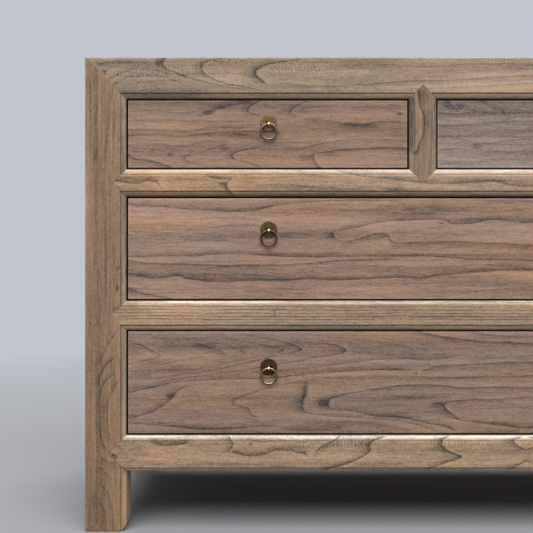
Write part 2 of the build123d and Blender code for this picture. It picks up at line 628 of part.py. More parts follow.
def make_drawer(name, middle_x, opening_w, seat_z, opening_h, tail_count, pull_xs, pull_rise):
    """Five boards of one drawer and its ring pulls."""
    half_w = opening_w / 2 - FRONT_GAP
    inner_w = half_w - SIDE_T
    front_z = (seat_z + FRONT_GAP, seat_z + opening_h - FRONT_GAP)
    side_z = (seat_z + RUN_GAP, front_z[1] - SIDE_DROP)
    bottom_z = (side_z[0] + BOTTOM_RISE, side_z[0] + BOTTOM_RISE + BOTTOM_T)
    back_z = (bottom_z[1], side_z[1] - BACK_DROP)
    back_y = (DRAWER_BACK_Y - BACK_T, DRAWER_BACK_Y)
    pull_z = seat_z + opening_h / 2 + pull_rise
    left_plane = Plane.YZ.offset(middle_x - half_w)
    right_plane = Plane.YZ.offset(middle_x + half_w)
    tail_l = FRONT_T - LAP_T
    front_tails = (DRAWER_INSIDE_Y, -tail_l, front_z[0], side_z[1], tail_count)
    back_tails = (back_y[0], BACK_T, back_z[0], back_z[1], tail_count)

    with BuildPart() as front:
        front_y = (DRAWER_FRONT_Y, DRAWER_INSIDE_Y)
        block((middle_x - half_w, middle_x + half_w), front_y, front_z)
        fillet(front.faces().sort_by(Axis.Y)[0].edges(), FRONT_EDGE_R)
        for plane, inward in ((left_plane, SIDE_T), (right_plane, -SIDE_T)):
            with BuildSketch(plane):
                tails(*front_tails)
            extrude(amount=inward, mode=Mode.SUBTRACT)
        groove_y = (DRAWER_INSIDE_Y - GROOVE_DEPTH, DRAWER_INSIDE_Y)
        block((middle_x - inner_w, middle_x + inner_w), groove_y, bottom_z, Mode.SUBTRACT)
        pull_slots(pull_xs, pull_z)
    pieces[name + "_front"] = front.part

    for hand, plane, inward in (("left", left_plane, SIDE_T), ("right", right_plane, -SIDE_T)):
        side_x = middle_x - half_w if hand == "left" else middle_x + half_w
        with BuildPart() as side:
            with BuildSketch(plane):
                with BuildLine():
                    Polyline(
                        (DRAWER_INSIDE_Y, side_z[0]),
                        (back_y[1], side_z[0]),
                        (back_y[1], back_z[0]),
                        (back_y[0], back_z[0]),
                        (back_y[0], back_z[1]),
                        (back_y[1], back_z[1]),
                        (back_y[1], side_z[1]),
                        (DRAWER_INSIDE_Y, side_z[1]),
                        close=True,
                    )
                make_face()
                tails(*front_tails)
                tails(*back_tails)
            extrude(amount=inward)
            groove_x = sorted((side_x + inward, side_x + inward * (1 - GROOVE_DEPTH / SIDE_T)))
            block(groove_x, (DRAWER_INSIDE_Y, DRAWER_BACK_Y), bottom_z, Mode.SUBTRACT)
        pieces[f"{name}_{hand}_side"] = side.part

    with BuildPart() as back:
        block((middle_x - half_w, middle_x + half_w), back_y, back_z)
        for plane, inward in ((left_plane, SIDE_T), (right_plane, -SIDE_T)):
            with BuildSketch(plane):
                tails(*back_tails)
            extrude(amount=inward, mode=Mode.SUBTRACT)
    pieces[name + "_back"] = back.part

    with BuildPart() as bottom:
        reach = inner_w + GROOVE_DEPTH - BOTTOM_ROOM
        tongue_y = (DRAWER_INSIDE_Y - GROOVE_DEPTH + BOTTOM_ROOM, DRAWER_INSIDE_Y)
        block((middle_x - reach, middle_x + reach), (DRAWER_INSIDE_Y, DRAWER_BACK_Y), bottom_z)
        block((middle_x - inner_w, middle_x + inner_w), tongue_y, bottom_z)
    pieces[name + "_bottom"] = bottom.part

    make_pulls(name, pull_xs, pull_z)


def make_pulls(name, pull_xs, pull_z):
    """Round plates, split-pin eyes and rings of one drawer."""
    plural = "s" if len(pull_xs) > 1 else ""
    shank_l = DRAWER_INSIDE_Y - EYE_Y
    eye_z = pull_z - EYE_DROP

    with BuildPart() as plates:
        with BuildSketch(Plane.XZ.offset(-DRAWER_FRONT_Y)):
            with Locations(*((x, pull_z) for x in pull_xs)):
                Circle(PLATE_R)
        extrude(amount=PLATE_T)
        rims = plates.faces().filter_by(GeomType.PLANE).group_by(Axis.Y)[0].edges()
        chamfer(rims, PLATE_RIM_SLOPE, PLATE_RIM_W)
        pull_slots(pull_xs, pull_z)
    pieces[f"{name}_pull_plate{plural}"] = plates.part

    with BuildPart() as eyes:
        for x in pull_xs:
            with BuildSketch(Plane.YZ.offset(x)):
                with Locations((EYE_Y, eye_z)):
                    Circle(EYE_OUTER_R)
                with Locations((EYE_Y + shank_l / 2, pull_z)):
                    Rectangle(shank_l, EYE_SHANK_H)
                with Locations((DRAWER_INSIDE_Y + EYE_STRIP_T / 2, pull_z)):
                    Rectangle(EYE_STRIP_T, 2 * EYE_TAB_L)
                with Locations((EYE_Y + shank_l, pull_z)):
                    Rectangle(2 * shank_l, EYE_SLIT, mode=Mode.SUBTRACT)
                with Locations((EYE_Y, eye_z)):
                    Circle(EYE_R, mode=Mode.SUBTRACT)
            extrude(amount=EYE_STRIP_W / 2, both=True)
    pieces[f"{name}_pull_eye{plural}"] = eyes.part

    hands = ("left_", "right_") if plural else ("",)
    for hand, x in zip(hands, pull_xs):
        with BuildPart() as ring:
            ring_plane = Plane.XZ.offset(-EYE_Y)
            with BuildSketch(ring_plane, mode=Mode.PRIVATE) as hoop:
                with Locations((x, eye_z - RING_R)):
                    RegularPolygon(RING_R, RING_FACETS)
            with BuildLine() as path:
                add(hoop.sketch.face().outer_wire())
            with BuildSketch(Plane(origin=path.line @ 0, z_dir=path.line % 0)):
                RegularPolygon(RING_WIRE_R, WIRE_FACETS)
            sweep(transition=Transition.RIGHT)
        pieces[f"{name}_{hand}ring"] = ring.part


SMALL_OPENING_W = INNER_X - DIVIDER_W / 2
SMALL_MIDDLE_X = (INNER_X + DIVIDER_W / 2) / 2
WIDE_OPENING_W = 2 * INNER_X
PULL_X = PULL_PITCH / 2
for name, side in (("left_drawer", -1), ("right_drawer", 1)):
    place = (side * SMALL_MIDDLE_X, SMALL_OPENING_W, UPPER_SEAT_Z, TOP_OPENING_H)
    make_drawer(name, *place, SMALL_TAIL_COUNT, (side * PULL_X,), TOP_PULL_RISE)
for name, seat_z, opening_h, pull_rise in (
    ("middle_drawer", MIDDLE_SEAT_Z, MIDDLE_OPENING_H, MIDDLE_PULL_RISE),
    ("lower_drawer", BOTTOM_SEAT_Z, LOWER_OPENING_H, LOWER_PULL_RISE),
):
    place = (0, WIDE_OPENING_W, seat_z, opening_h)
    make_drawer(name, *place, WIDE_TAIL_COUNT, (-PULL_X, PULL_X), pull_rise)


# Right-hand twins of the left-hand frame pieces

HANDED = (
    "front_left_post",
    "back_left_post",
    "top_left_rail",
    "left_bottom_rail",
    "left_side_panel",
)
for name in HANDED:
    with BuildPart() as twin:
        mirror(pieces[name], about=Plane.YZ)
    pieces[name.replace("left", "right")] = twin.part

os.makedirs("parts", exist_ok=True)
for name, piece in pieces.items():
    piece.label = name
    export_step(piece, f"parts/{name}.step")
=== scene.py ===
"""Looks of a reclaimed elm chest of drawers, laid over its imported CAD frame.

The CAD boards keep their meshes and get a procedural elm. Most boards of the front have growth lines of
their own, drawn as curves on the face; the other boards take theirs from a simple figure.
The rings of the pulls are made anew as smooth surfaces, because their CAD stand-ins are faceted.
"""

import json
import math

import bpy
import numpy as np
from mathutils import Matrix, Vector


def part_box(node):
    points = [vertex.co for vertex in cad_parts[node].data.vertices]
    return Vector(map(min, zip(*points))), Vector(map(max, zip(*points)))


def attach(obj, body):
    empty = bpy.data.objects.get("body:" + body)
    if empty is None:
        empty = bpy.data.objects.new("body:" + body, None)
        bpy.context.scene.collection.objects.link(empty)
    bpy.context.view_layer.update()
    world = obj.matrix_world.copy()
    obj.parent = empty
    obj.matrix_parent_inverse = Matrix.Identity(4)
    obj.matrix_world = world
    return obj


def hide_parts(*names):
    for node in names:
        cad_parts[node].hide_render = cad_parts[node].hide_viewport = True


bl_info = {
    "name": "Elm chest of drawers",
    "version": (1, 0, 0),
    "blender": (4, 5, 0),
    "location": "3D View > Sidebar > Chest",
    "description": "Dresses the packed chest of drawers: elm boards, brass pulls and a pale studio",
    "category": "Object",
}

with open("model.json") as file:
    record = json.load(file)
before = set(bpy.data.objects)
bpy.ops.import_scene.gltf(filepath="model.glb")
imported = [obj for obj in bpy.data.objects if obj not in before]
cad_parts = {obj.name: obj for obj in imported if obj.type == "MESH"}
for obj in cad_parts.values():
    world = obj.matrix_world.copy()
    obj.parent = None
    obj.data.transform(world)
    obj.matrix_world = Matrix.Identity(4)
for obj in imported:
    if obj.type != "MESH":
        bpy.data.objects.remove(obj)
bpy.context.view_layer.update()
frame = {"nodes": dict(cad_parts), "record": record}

# Places on the front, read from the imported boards, in metres
LEFT_X, FRONT_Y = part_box("front_left_post")[0][:2]
INNER_X = -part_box("front_left_post")[1].x
TOP_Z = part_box("top_front_rail")[1].z
PULL_X = sum(corner.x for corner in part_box("right_drawer_ring")) / 2
FOOT_TOP_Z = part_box("bottom_front_rail")[0].z

# Widths of the worked edges on the front: mouldings, the bottom rail's bead, and rubbed outer corners
MOULD_W = 0.010
LOWER_BEAD_W = 0.006
POST_CORNER_W = 0.005
TOP_CORNER_W = 0.003

# Past this place on the front, just inside the photograph's right edge, the figure is repeated in reverse
TURN_X = 0.185

# How the photograph was taken: its width in pixels, the lens and sensor, and the camera's place in metres
PHOTO_PX = 533
LENS_MM = 49.3
SENSOR_MM = 36.0
FOCUS_PX = LENS_MM / SENSOR_MM * PHOTO_PX
CAMERA_PLACE = (-0.2806, -1.537, 0.475)

# A level line that starts at a board's left end or stops at the picture's right edge is carried on past it,
# so that it doesn't fade out there: where such lines start and stop, how far they are carried, all in
# pixels, and the share of their slope that they keep
LEFT_END_PX = (115, 127)
LEFT_CARRY_PX = 100
LEFT_SLOPE = 0.3
RIGHT_EDGE_PX = 529
RIGHT_CARRY_PX = 570
RIGHT_SLOPE = 0.5

# Growth lines on the front boards. A level line gives its place across the grain from its
# place along it, and a tip, which turns back on itself, the other way round. Then come its weight, its
# thickness, whose sign is the side that it shades, and the pixels of the photograph that it runs through.
GROWTH_LINES = {
    "top_front_rail": (
        ("tip", 1, 1.1, (
            (166, 56), (164.2, 59), (163, 62), (163.2, 65), (164.6, 67.6), (175, 72), (188.5, 77),
            (204.7, 81.5), (219.4, 85.2), (235.5, 87.8), (253, 91), (268, 94),
        )),
        ("tip", 0.85, 1.2, (
            (232, 57), (220, 59), (207.6, 61.3), (202.6, 64.7), (201.5, 67.6), (202.3, 70), (204.5, 73.5),
            (212, 77.9), (226.7, 83), (241.4, 86), (256, 89.3), (275, 93),
        )),
        ("tip", 1, 1.9, (
            (312, 57), (303, 58.8), (285.4, 61.4), (270.7, 64.2), (260.4, 67.6), (256.8, 70),
            (255.3, 72.4), (256.8, 76.4), (261.9, 80), (265.6, 84.2),
        )),
        ("level", 0.6, 0.7, (
            (256, 84.6), (268, 85), (281, 83.6), (300, 85.2), (330, 85.7), (359, 84.5), (389, 82.1),
            (423, 80.5), (449, 79.7), (486, 77.5), (533, 75.4),
        )),
        ("level", 0.4, 0.6, (
            (290, 91), (340, 91), (374, 90.3), (416, 88.9), (434, 88.2), (480, 86), (533, 83.2),
        )),
        ("level", 0.5, -0.8, (
            (101, 92), (106, 85.5), (110, 80.5), (115, 76.5), (124, 72), (139, 69), (156, 70.5),
            (172, 76),
        )),
        ("level", 0.45, -0.8, (
            (109, 92), (114, 86.5), (119.6, 81.5), (130, 77.1), (146, 75.7), (168, 78.6), (185, 84.5),
        )),
        ("level", 0.55, 1.3, ((92, 70), (98, 65.5), (106, 62.4), (120, 61.4), (140, 61.8), (163, 64))),
        ("level", 0.3, 0.8, ((330, 66), (380, 64.5), (430, 66), (480, 63.5), (533, 64.5))),
    ),
    "upper_front_rail": (
        ("level", 0.9, -0.8, (
            (113, 176), (118, 180.6), (128.4, 182.8), (138.7, 183.5), (143.5, 181.3), (149.5, 180.4),
            (156, 182.4), (159.4, 186.8), (163, 193),
        )),
        ("level", 0.45, -0.7, ((165, 179), (169, 182), (172.4, 186.4), (178, 193))),
        ("level", 0.75, -0.8, ((205, 175), (212, 177.6), (220, 178.8), (228, 179.2), (233, 180.4))),
        ("tip", 0.9, 1.2, (
            (232, 179.4), (228.6, 181.6), (226.4, 184), (226.8, 187.6), (230, 192), (233, 196),
        )),
        ("level", 0.7, -0.8, (
            (330, 169.5), (345, 172.5), (359.4, 175.6), (383, 178.1), (404, 180.8), (423, 182.7),
            (449, 183.4), (471, 182.2), (486, 181.1), (499, 182.2), (508, 184.9), (533, 187),
        )),
        ("level", 0.35, 0.8, (
            (250, 186), (280, 184), (310, 187), (345, 188.5), (375, 187), (400, 189.5), (425, 188),
        )),
        ("level", 0.3, 0.8, ((240, 175), (275, 178), (305, 175), (335, 177))),
    ),
    "bottom_front_rail": (
        ("tip", 0.9, 1, (
            (228, 436), (231, 441), (232.8, 443.6), (231.6, 447), (229.4, 450.6), (229.2, 452.5),
        )),
        ("level", 0.9, -1, (
            (229, 451), (234, 452.8), (241.4, 454.4), (253, 455.7), (263.4, 454.2), (272.2, 451.3),
            (279, 449.8), (286, 449.9), (297, 452.4), (309, 455.2),
        )),
        ("level", 0.7, 1, (
            (313, 455), (316.5, 450.5), (320.5, 447), (327, 444), (334, 440.5), (341, 435),
        )),
        ("tip", 1, 1.7, (
            (388, 436), (381, 438.6), (374, 441.1), (370, 443.3), (369.1, 446.3), (370.4, 449.3),
            (367, 453.7), (359.4, 458.2), (344.6, 464.1), (330, 468.6), (322, 471),
        )),
        ("tip", 1, 1.9, (
            (453, 435.6), (447, 438), (441.4, 441.1), (440.4, 444.1), (443.4, 447.8), (450, 451.5),
            (457.5, 454.6), (460.5, 456.7), (457.5, 459), (448.6, 462), (436.7, 466.4), (426, 470.5),
        )),
        ("tip", 1, 1.7, (
            (527, 435.5), (519, 438.4), (513, 441.6), (515.5, 444.8), (523, 448.6), (534, 451.5),
            (543, 455), (536, 458.6), (522, 463.5), (508, 470.5),
        )),
        ("level", 0.6, -1, (
            (148, 440), (153, 443.6), (160, 445.2), (168, 445.6), (178, 444.8), (187, 442.2),
            (191, 439.4),
        )),
        ("level", 0.3, 0.8, ((126, 458), (150, 461), (180, 459), (215, 463), (250, 464), (290, 466))),
        ("tip", 0.9, 1, (
            (110.2, 452.3), (112.6, 453.6), (115.2, 455.4), (116.7, 457.6), (116.5, 459.4), (115, 461),
        )),
        ("level", 0.35, -0.8, ((245, 439), (262, 441.6), (280, 440.4), (300, 442), (312, 439.4))),
    ),
    "front_left_post": (
        ("level", 0.8, 0.8, ((118.9, 331), (111.5, 339), (106.4, 347.9), (102, 358.9), (100.4, 366))),
        ("level", 1, 0.8, ((119, 356.6), (111.5, 360.5), (105.7, 366.9), (100.5, 377.2), (98.8, 386))),
        ("level", 0.9, 0.6, (
            (119, 370.4), (110.8, 376.5), (104.9, 381.8), (101.3, 390.4), (99.8, 405), (99.8, 422.7),
            (101.3, 437.4), (104.2, 446.2), (108.5, 453),
        )),
        ("level", 0.7, 0.8, (
            (119, 378.5), (113.7, 389), (110, 396.3), (107.9, 408), (107.9, 425.6), (110, 436.4),
            (114, 441),
        )),
        ("level", 0.35, 0.7, ((97.3, 60), (97.6, 150), (97.2, 250), (97.8, 335))),
        ("level", 0.35, 0.7, ((90.6, 60), (91.2, 150), (90.4, 260), (91.4, 380), (90.8, 530))),
        ("level", 0.4, -0.7, (
            (109, 84), (107.6, 120), (105, 160), (103.4, 210), (104.4, 270), (103, 330),
        )),
        ("level", 0.4, -0.7, (
            (114, 90), (113.4, 130), (111.2, 170), (109, 220), (110.6, 270), (109.4, 318),
        )),
        ("level", 0.35, -0.7, ((102, 74), (101.2, 120), (100, 180), (100.6, 250), (99.6, 320))),
        ("level", 0.3, -0.7, ((118, 100), (117.6, 150), (116, 200), (114.4, 250), (115.4, 290))),
        ("tip", 0.8, 0.9, ((100.7, 456.5), (104.5, 459.9), (109, 461.8), (113, 462.5), (116, 460.5))),
        ("level", 0.6, 0.9, ((100, 466.8), (105.2, 472.1), (110.6, 477.5), (116.7, 479.8))),
        ("level", 0.6, 0.9, (
            (99.1, 480.5), (103, 487.4), (108.3, 492.8), (110.6, 499.7), (112.1, 508.9), (113.7, 521.9),
            (114.6, 531),
        )),
        ("level", 0.45, 0.8, ((101.6, 502), (103.4, 508), (105.2, 513.5), (106.4, 524.2), (106.8, 531))),
        ("level", 0.45, 0.8, ((98.4, 483), (98.6, 505), (97.8, 526))),
    ),
    "drawer_divider": (
        ("level", 0.75, 0.8, (
            (413, 94), (412.8, 112), (412.6, 130), (412.3, 148), (413.4, 153), (415.4, 154.6),
        )),
        ("level", 0.9, -1.1, (
            (418.4, 88), (419.2, 100), (420.4, 108), (422.8, 114), (424, 123.5), (422.6, 133),
            (418.6, 145), (415.8, 154.6),
        )),
        ("level", 0.5, 0.8, ((414.6, 96), (414.8, 120), (414.9, 146))),
        ("level", 0.6, 0.8, ((432.4, 108), (432.8, 128), (432, 146), (431.2, 160), (429.8, 177))),
        ("level", 0.3, 0.8, ((427, 92), (428.4, 110), (427.4, 130), (425.4, 150), (424.6, 176))),
    ),
    "left_drawer_front": (
        ("level", 0.9, 0.8, (
            (122, 152), (127, 154.9), (135.7, 158.6), (144.5, 159.7), (154.8, 161.5), (162.1, 163.7),
            (174, 168),
        )),
        ("tip", 0.75, 1, (
            (226, 144), (219.4, 146.8), (207.6, 151.2), (197.4, 154), (188, 156), (185, 157.6),
            (187, 160), (191.5, 162.2), (201.8, 164.6), (212, 167.5),
        )),
        ("tip", 0.85, 1.3, (
            (268, 145), (256, 147.6), (244.3, 149.8), (235.5, 152.7), (232, 155.4), (234, 158.6),
            (242.8, 160.4), (253, 163.7), (264, 168),
        )),
        ("tip", 0.9, 1.2, (
            (330, 151.8), (320, 152.8), (315, 154), (313.4, 156), (314, 160), (316.8, 164.2),
            (321, 168.4),
        )),
        ("level", 0.8, 0.7, (
            (314, 154), (322, 152.6), (330, 151.7), (340, 149.9), (359, 148.4), (383, 147.8),
            (412, 147.6),
        )),
        ("level", 0.5, 0.6, (
            (280, 149), (300, 147.3), (315, 145), (334, 140.8), (350, 139.6), (367, 139.2), (412, 140),
        )),
        ("level", 0.6, 0.6, (
            (122, 135.3), (153, 134.3), (175, 135.8), (197, 134.3), (227, 132.1), (262, 131.2),
            (290, 133.5),
        )),
        ("level", 0.4, 0.6, ((122, 130), (146, 129.2), (180, 130.4), (214, 127.6), (250, 126.8))),
        ("level", 0.35, 0.7, (
            (232, 133), (247, 134.8), (262, 137), (290, 138), (312, 136.6), (340, 133),
        )),
        ("tip", 0.75, 1.3, (
            (259, 100.5), (254.6, 103.5), (250.4, 106), (248, 108.7), (247.4, 111), (250.9, 112.6),
            (262, 115.4),
        )),
        ("tip", 0.6, 1.3, (
            (312, 100.5), (304, 103), (296, 106.3), (291.6, 109.5), (290.4, 112), (293, 114.4),
            (302, 117),
        )),
        ("level", 0.55, -1.8, (
            (196, 117), (206, 114), (213, 111.2), (221, 107.4), (233, 104.2), (252, 102),
        )),
        ("level", 0.4, 0.8, ((122, 112), (150, 110), (175, 112.6), (200, 109))),
        ("level", 0.35, 0.8, ((128, 121), (160, 119.6), (195, 121.8), (235, 120.4))),
        ("level", 0.45, 0.9, ((300, 118), (330, 121), (360, 124), (385, 121.4), (412, 124))),
        ("level", 0.35, 0.8, ((350, 108), (375, 106), (392, 109.6), (404, 114), (412, 115))),
        ("level", 0.4, 0.7, ((125, 145), (150, 143.4), (180, 145.6), (205, 141), (230, 140.4))),
    ),
    "right_drawer_front": (
        ("level", 0.45, 0.9, (
            (434, 124.2), (450, 125.4), (463, 125), (482, 123.4), (501, 122), (533, 121),
        )),
        ("level", 0.4, 0.9, ((434, 136), (460, 138), (486, 142.9), (508, 140.6), (533, 138))),
        ("level", 0.35, 0.9, ((434, 112), (455, 113.4), (480, 111.6), (505, 113.5), (533, 112))),
        ("level", 0.4, -1.4, ((478, 100), (487, 104), (496, 109.6), (506, 112.6))),
        ("tip", 0.45, 1.3, ((448, 100), (451, 104), (455, 108), (460, 112))),
        ("level", 0.35, 0.8, ((434, 151), (470, 148.6), (500, 151.8), (533, 149))),
        ("level", 0.3, 0.8, ((434, 160), (470, 161.4), (500, 159), (533, 160.6))),
    ),
    "middle_drawer_front": (
        ("level", 0.75, -1, (
            (122, 202.6), (138.7, 205.7), (153.3, 206.4), (168, 206.8), (185.6, 208.9), (204.7, 210.1),
            (226.7, 211.2), (241.4, 210.8), (263.4, 207.9), (278, 204.9), (292.7, 203.2), (310, 202),
            (333, 200.8), (360, 200.6), (410, 200),
        )),
        ("level", 0.8, -0.8, (
            (122, 257.2), (153, 256.3), (168, 255.6), (191.5, 256), (204.7, 254.8), (219.4, 253.8),
            (234, 252.9), (248.7, 253.6), (263.4, 255.1), (285.4, 256.4), (310, 257), (337, 256.6),
            (367, 256.5), (419, 256.1), (434, 256.6), (456, 258), (478, 259.5), (533, 260.3),
        )),
        ("level", 0.85, 0.8, (
            (122, 259.6), (138.7, 262.1), (153, 263.3), (182.7, 264.3), (204.7, 265.4), (226.7, 265.8),
            (248.7, 265.1), (270.7, 265.1), (292.7, 264.3), (310, 263.2), (322, 262), (344.6, 260.2),
            (367, 259.4), (404, 258.6),
        )),
        ("level", 0.85, -1.2, (
            (122, 274.2), (141.6, 276.1), (156, 277.5), (168, 276.8), (176.8, 275.4), (185.6, 278),
            (197.4, 279.7), (219.4, 280.9), (248.7, 280), (278, 280), (296, 279.3), (310, 278.3),
            (330, 279.2), (359, 278.4), (382, 277.6), (404, 276.8), (418.9, 278.1), (433.7, 275.8),
            (456, 273.6), (478, 271.8), (500.6, 270.3), (533, 269.8),
        )),
        ("level", 0.7, 0.9, (
            (122, 284), (128.4, 287.8), (135.7, 290.8), (146, 293.7), (162, 296.8), (175, 300),
        )),
        ("level", 0.85, -0.9, (
            (333, 231), (344.6, 229), (356.5, 227.5), (367, 224.6), (381.7, 222.1), (396.6, 220.4),
            (415.9, 219.4), (436, 218.7), (443, 219.4), (448.6, 222.2), (456, 223.8), (471, 223),
            (482.8, 220.6), (491.7, 219.4), (508, 220.9), (533, 224),
        )),
        ("tip", 0.8, 1.2, (
            (338, 229.8), (334.4, 231.4), (333.4, 234), (334.4, 237), (338.6, 239.6), (346, 241),
        )),
        ("level", 0.75, 1, (
            (338, 239.8), (346, 240.9), (356.5, 239.4), (364, 237.2), (371.3, 234.9), (381.7, 233.6),
            (387, 234.4), (389.6, 236.6), (391.4, 240.6), (394, 242.4), (402.5, 243.2), (419, 241.8),
            (448.6, 242.1), (478, 242.7), (500.6, 243.2), (533, 245.6),
        )),
        ("level", 0.35, 0.8, ((122, 226), (160, 224), (200, 227), (240, 224.6), (280, 228), (325, 232))),
        ("level", 0.3, 0.8, (
            (122, 240), (165, 242.6), (210, 239.6), (250, 243), (300, 241), (330, 243.6),
        )),
        ("level", 0.35, 0.7, ((400, 207), (440, 208.6), (480, 206.4), (533, 208.4))),
        ("level", 0.3, 0.8, ((122, 217), (150, 216), (190, 219), (225, 217.4), (262, 219.6))),
        ("level", 0.35, 0.9, (
            (240, 291), (290, 289), (340, 291.6), (400, 288.4), (450, 290.6), (533, 287),
        )),
        ("level", 0.3, 0.8, ((330, 212), (370, 210), (410, 213.4), (440, 212))),
        ("level", 0.3, 0.9, ((330, 267), (370, 265.6), (420, 268), (470, 265), (533, 264))),
    ),
    "lower_drawer_front": (
        ("tip", 0.8, 0.9, (
            (122, 342.4), (138.7, 344.2), (146, 347.1), (153.3, 350.8), (158.6, 353.8), (160, 355.4),
            (157.7, 357.4), (150.4, 359.6), (141.6, 361.8), (126, 364),
        )),
        ("tip", 0.55, 1, (
            (138, 332.4), (146, 334), (162, 338.8), (180, 341.3), (196, 343), (212, 348.4),
            (223.5, 352.6), (224.5, 354), (205, 356.7), (183, 360.3), (168, 364), (153, 367), (122, 371),
        )),
        ("tip", 0.45, 1, (
            (196, 338.6), (220, 343.6), (236, 347.6), (243.6, 350.4), (245, 353), (238.4, 356),
            (224, 359), (200, 363.6), (170, 369.6), (140, 374.6),
        )),
        ("tip", 0.6, 1, (
            (180, 332), (197.4, 333.4), (219.4, 336.1), (234, 339), (248.7, 342), (263.4, 344.6),
            (276, 347.4), (283.5, 350), (283, 351.6), (275, 353.7), (263.4, 355.9), (240, 360.4),
            (214, 366), (180, 372),
        )),
        ("tip", 0.85, 1.1, (
            (232, 331.6), (244, 333.6), (263.4, 337.6), (285.4, 342), (297, 346.4), (301, 349.4),
            (300.4, 351), (295.6, 352.4), (278, 355.4), (256, 361), (230, 367), (200, 372.4), (165, 378),
        )),
        ("tip", 0.95, 1.2, (
            (285, 338), (300, 340.8), (312, 342.2), (330, 344), (340, 346.7), (344.6, 350), (343.4, 352),
            (337, 354.2), (322, 356.6), (300, 361), (270, 366), (235, 371.4), (195, 377), (150, 384),
        )),
        ("tip", 0.9, 0.9, (
            (290, 331.6), (312, 334.1), (337, 337.1), (367, 340.2), (389, 343), (404, 346), (417, 348.8),
            (440, 349.9), (465, 350.2), (480, 350.8), (485, 351.8), (481, 353.8), (466, 355),
            (448.6, 357.6),
        )),
        ("level", 0.6, -0.8, (
            (250, 374), (300, 369), (330, 365.3), (359, 361.6), (382, 358.9), (404, 358.4), (420, 359.6),
            (440, 358.8), (460, 355.4),
        )),
        ("level", 0.85, 0.9, (
            (412, 330), (423.3, 332.6), (441, 336.3), (463, 339.3), (486, 341.5), (533, 343.2),
        )),
        ("level", 0.6, 0.8, ((466, 330.4), (475, 332.6), (500, 335.6), (533, 336.6))),
        ("level", 0.7, 0.8, (
            (417, 373), (426, 369.8), (441, 366), (463, 364.3), (486, 363.4), (533, 361.4),
        )),
        ("level", 0.75, -0.8, (
            (122, 393), (146, 389), (180, 382), (220, 379), (260, 378.4), (300, 375), (330, 372.3),
            (367, 370.2), (389, 369.3), (405, 370), (416, 372.6),
        )),
        ("level", 0.5, 0.8, (
            (300, 378.6), (337, 377.2), (367, 376.4), (397, 375.8), (426, 376.2), (463, 377.2),
            (500, 376.6), (533, 375.6),
        )),
        ("tip", 0.75, 1.1, (
            (310, 380), (285.4, 384.5), (256, 391.9), (241.4, 396.6), (233.5, 401), (232.6, 402.8),
            (236, 404.6), (248.4, 408.6), (251, 412.6), (256, 416.6), (272, 419),
        )),
        ("tip", 0.7, 2.2, (
            (306, 380), (306.4, 386), (304.6, 391), (303, 397.3), (301.6, 404), (302.6, 409), (307, 412),
            (322, 415),
        )),
        ("level", 0.6, -0.8, (
            (303, 411), (322, 415), (352, 417.3), (390, 419.6), (418, 425), (440, 432),
        )),
        ("tip", 0.95, 1.9, (
            (360, 391), (344.6, 394.3), (333, 398), (328, 401.4), (327.4, 404), (329, 407), (334, 409.3),
            (346, 410.4), (358, 412.1),
        )),
        ("level", 0.8, 0.8, (
            (330, 398.6), (344.6, 394.3), (359.4, 391.3), (374, 389.1), (392, 386.2), (411, 385),
            (441, 385.4), (463, 387.6), (500, 387), (533, 388),
        )),
        ("level", 0.9, -0.8, (
            (330, 408.4), (344.6, 409.9), (358, 412.1), (374, 415.1), (404, 417.8), (419, 421),
            (441, 425.5), (460, 432),
        )),
        ("tip", 0.9, 1.9, (
            (478, 399.8), (463, 400.3), (450, 402), (444.4, 404), (443.6, 406.2), (445.8, 409.4),
            (453, 415.1), (458, 419.6), (464, 421),
        )),
        ("level", 0.7, 0.8, ((446, 403.4), (463, 400.2), (493, 399.5), (533, 397))),
        ("level", 0.9, -0.9, ((452, 415), (459, 420), (471, 421.4), (493, 424), (533, 428.8))),
        ("level", 0.75, -0.8, (
            (122, 423.4), (153, 424.4), (175, 426.4), (197, 428.6), (212, 429.3), (234, 428.3),
            (271, 426.4), (285, 428.6), (310, 430), (350, 428),
        )),
        ("tip", 0.75, 1.6, (
            (212, 383.6), (204.7, 384.5), (186, 386.7), (176, 391.6), (174, 396), (168, 402),
            (160, 407.4), (146, 413.9), (126, 419),
        )),
        ("level", 0.35, 0.8, ((122, 399), (140, 397), (158, 399.4), (172, 396))),
        ("level", 0.35, 0.7, ((300, 423), (340, 422), (380, 425), (415, 431))),
        ("level", 0.3, 0.7, ((260, 422), (300, 419), (350, 421.4), (390, 424))),
        ("level", 0.35, 0.7, ((467, 390), (500, 392.4), (533, 391))),
        ("level", 0.3, 0.7, ((192, 412), (230, 415), (262, 421))),
        ("level", 0.35, 0.7, ((122, 376), (150, 377), (180, 375))),
        ("level", 0.3, 0.7, ((350, 352), (390, 354), (420, 354.6), (450, 353))),
    ),
}

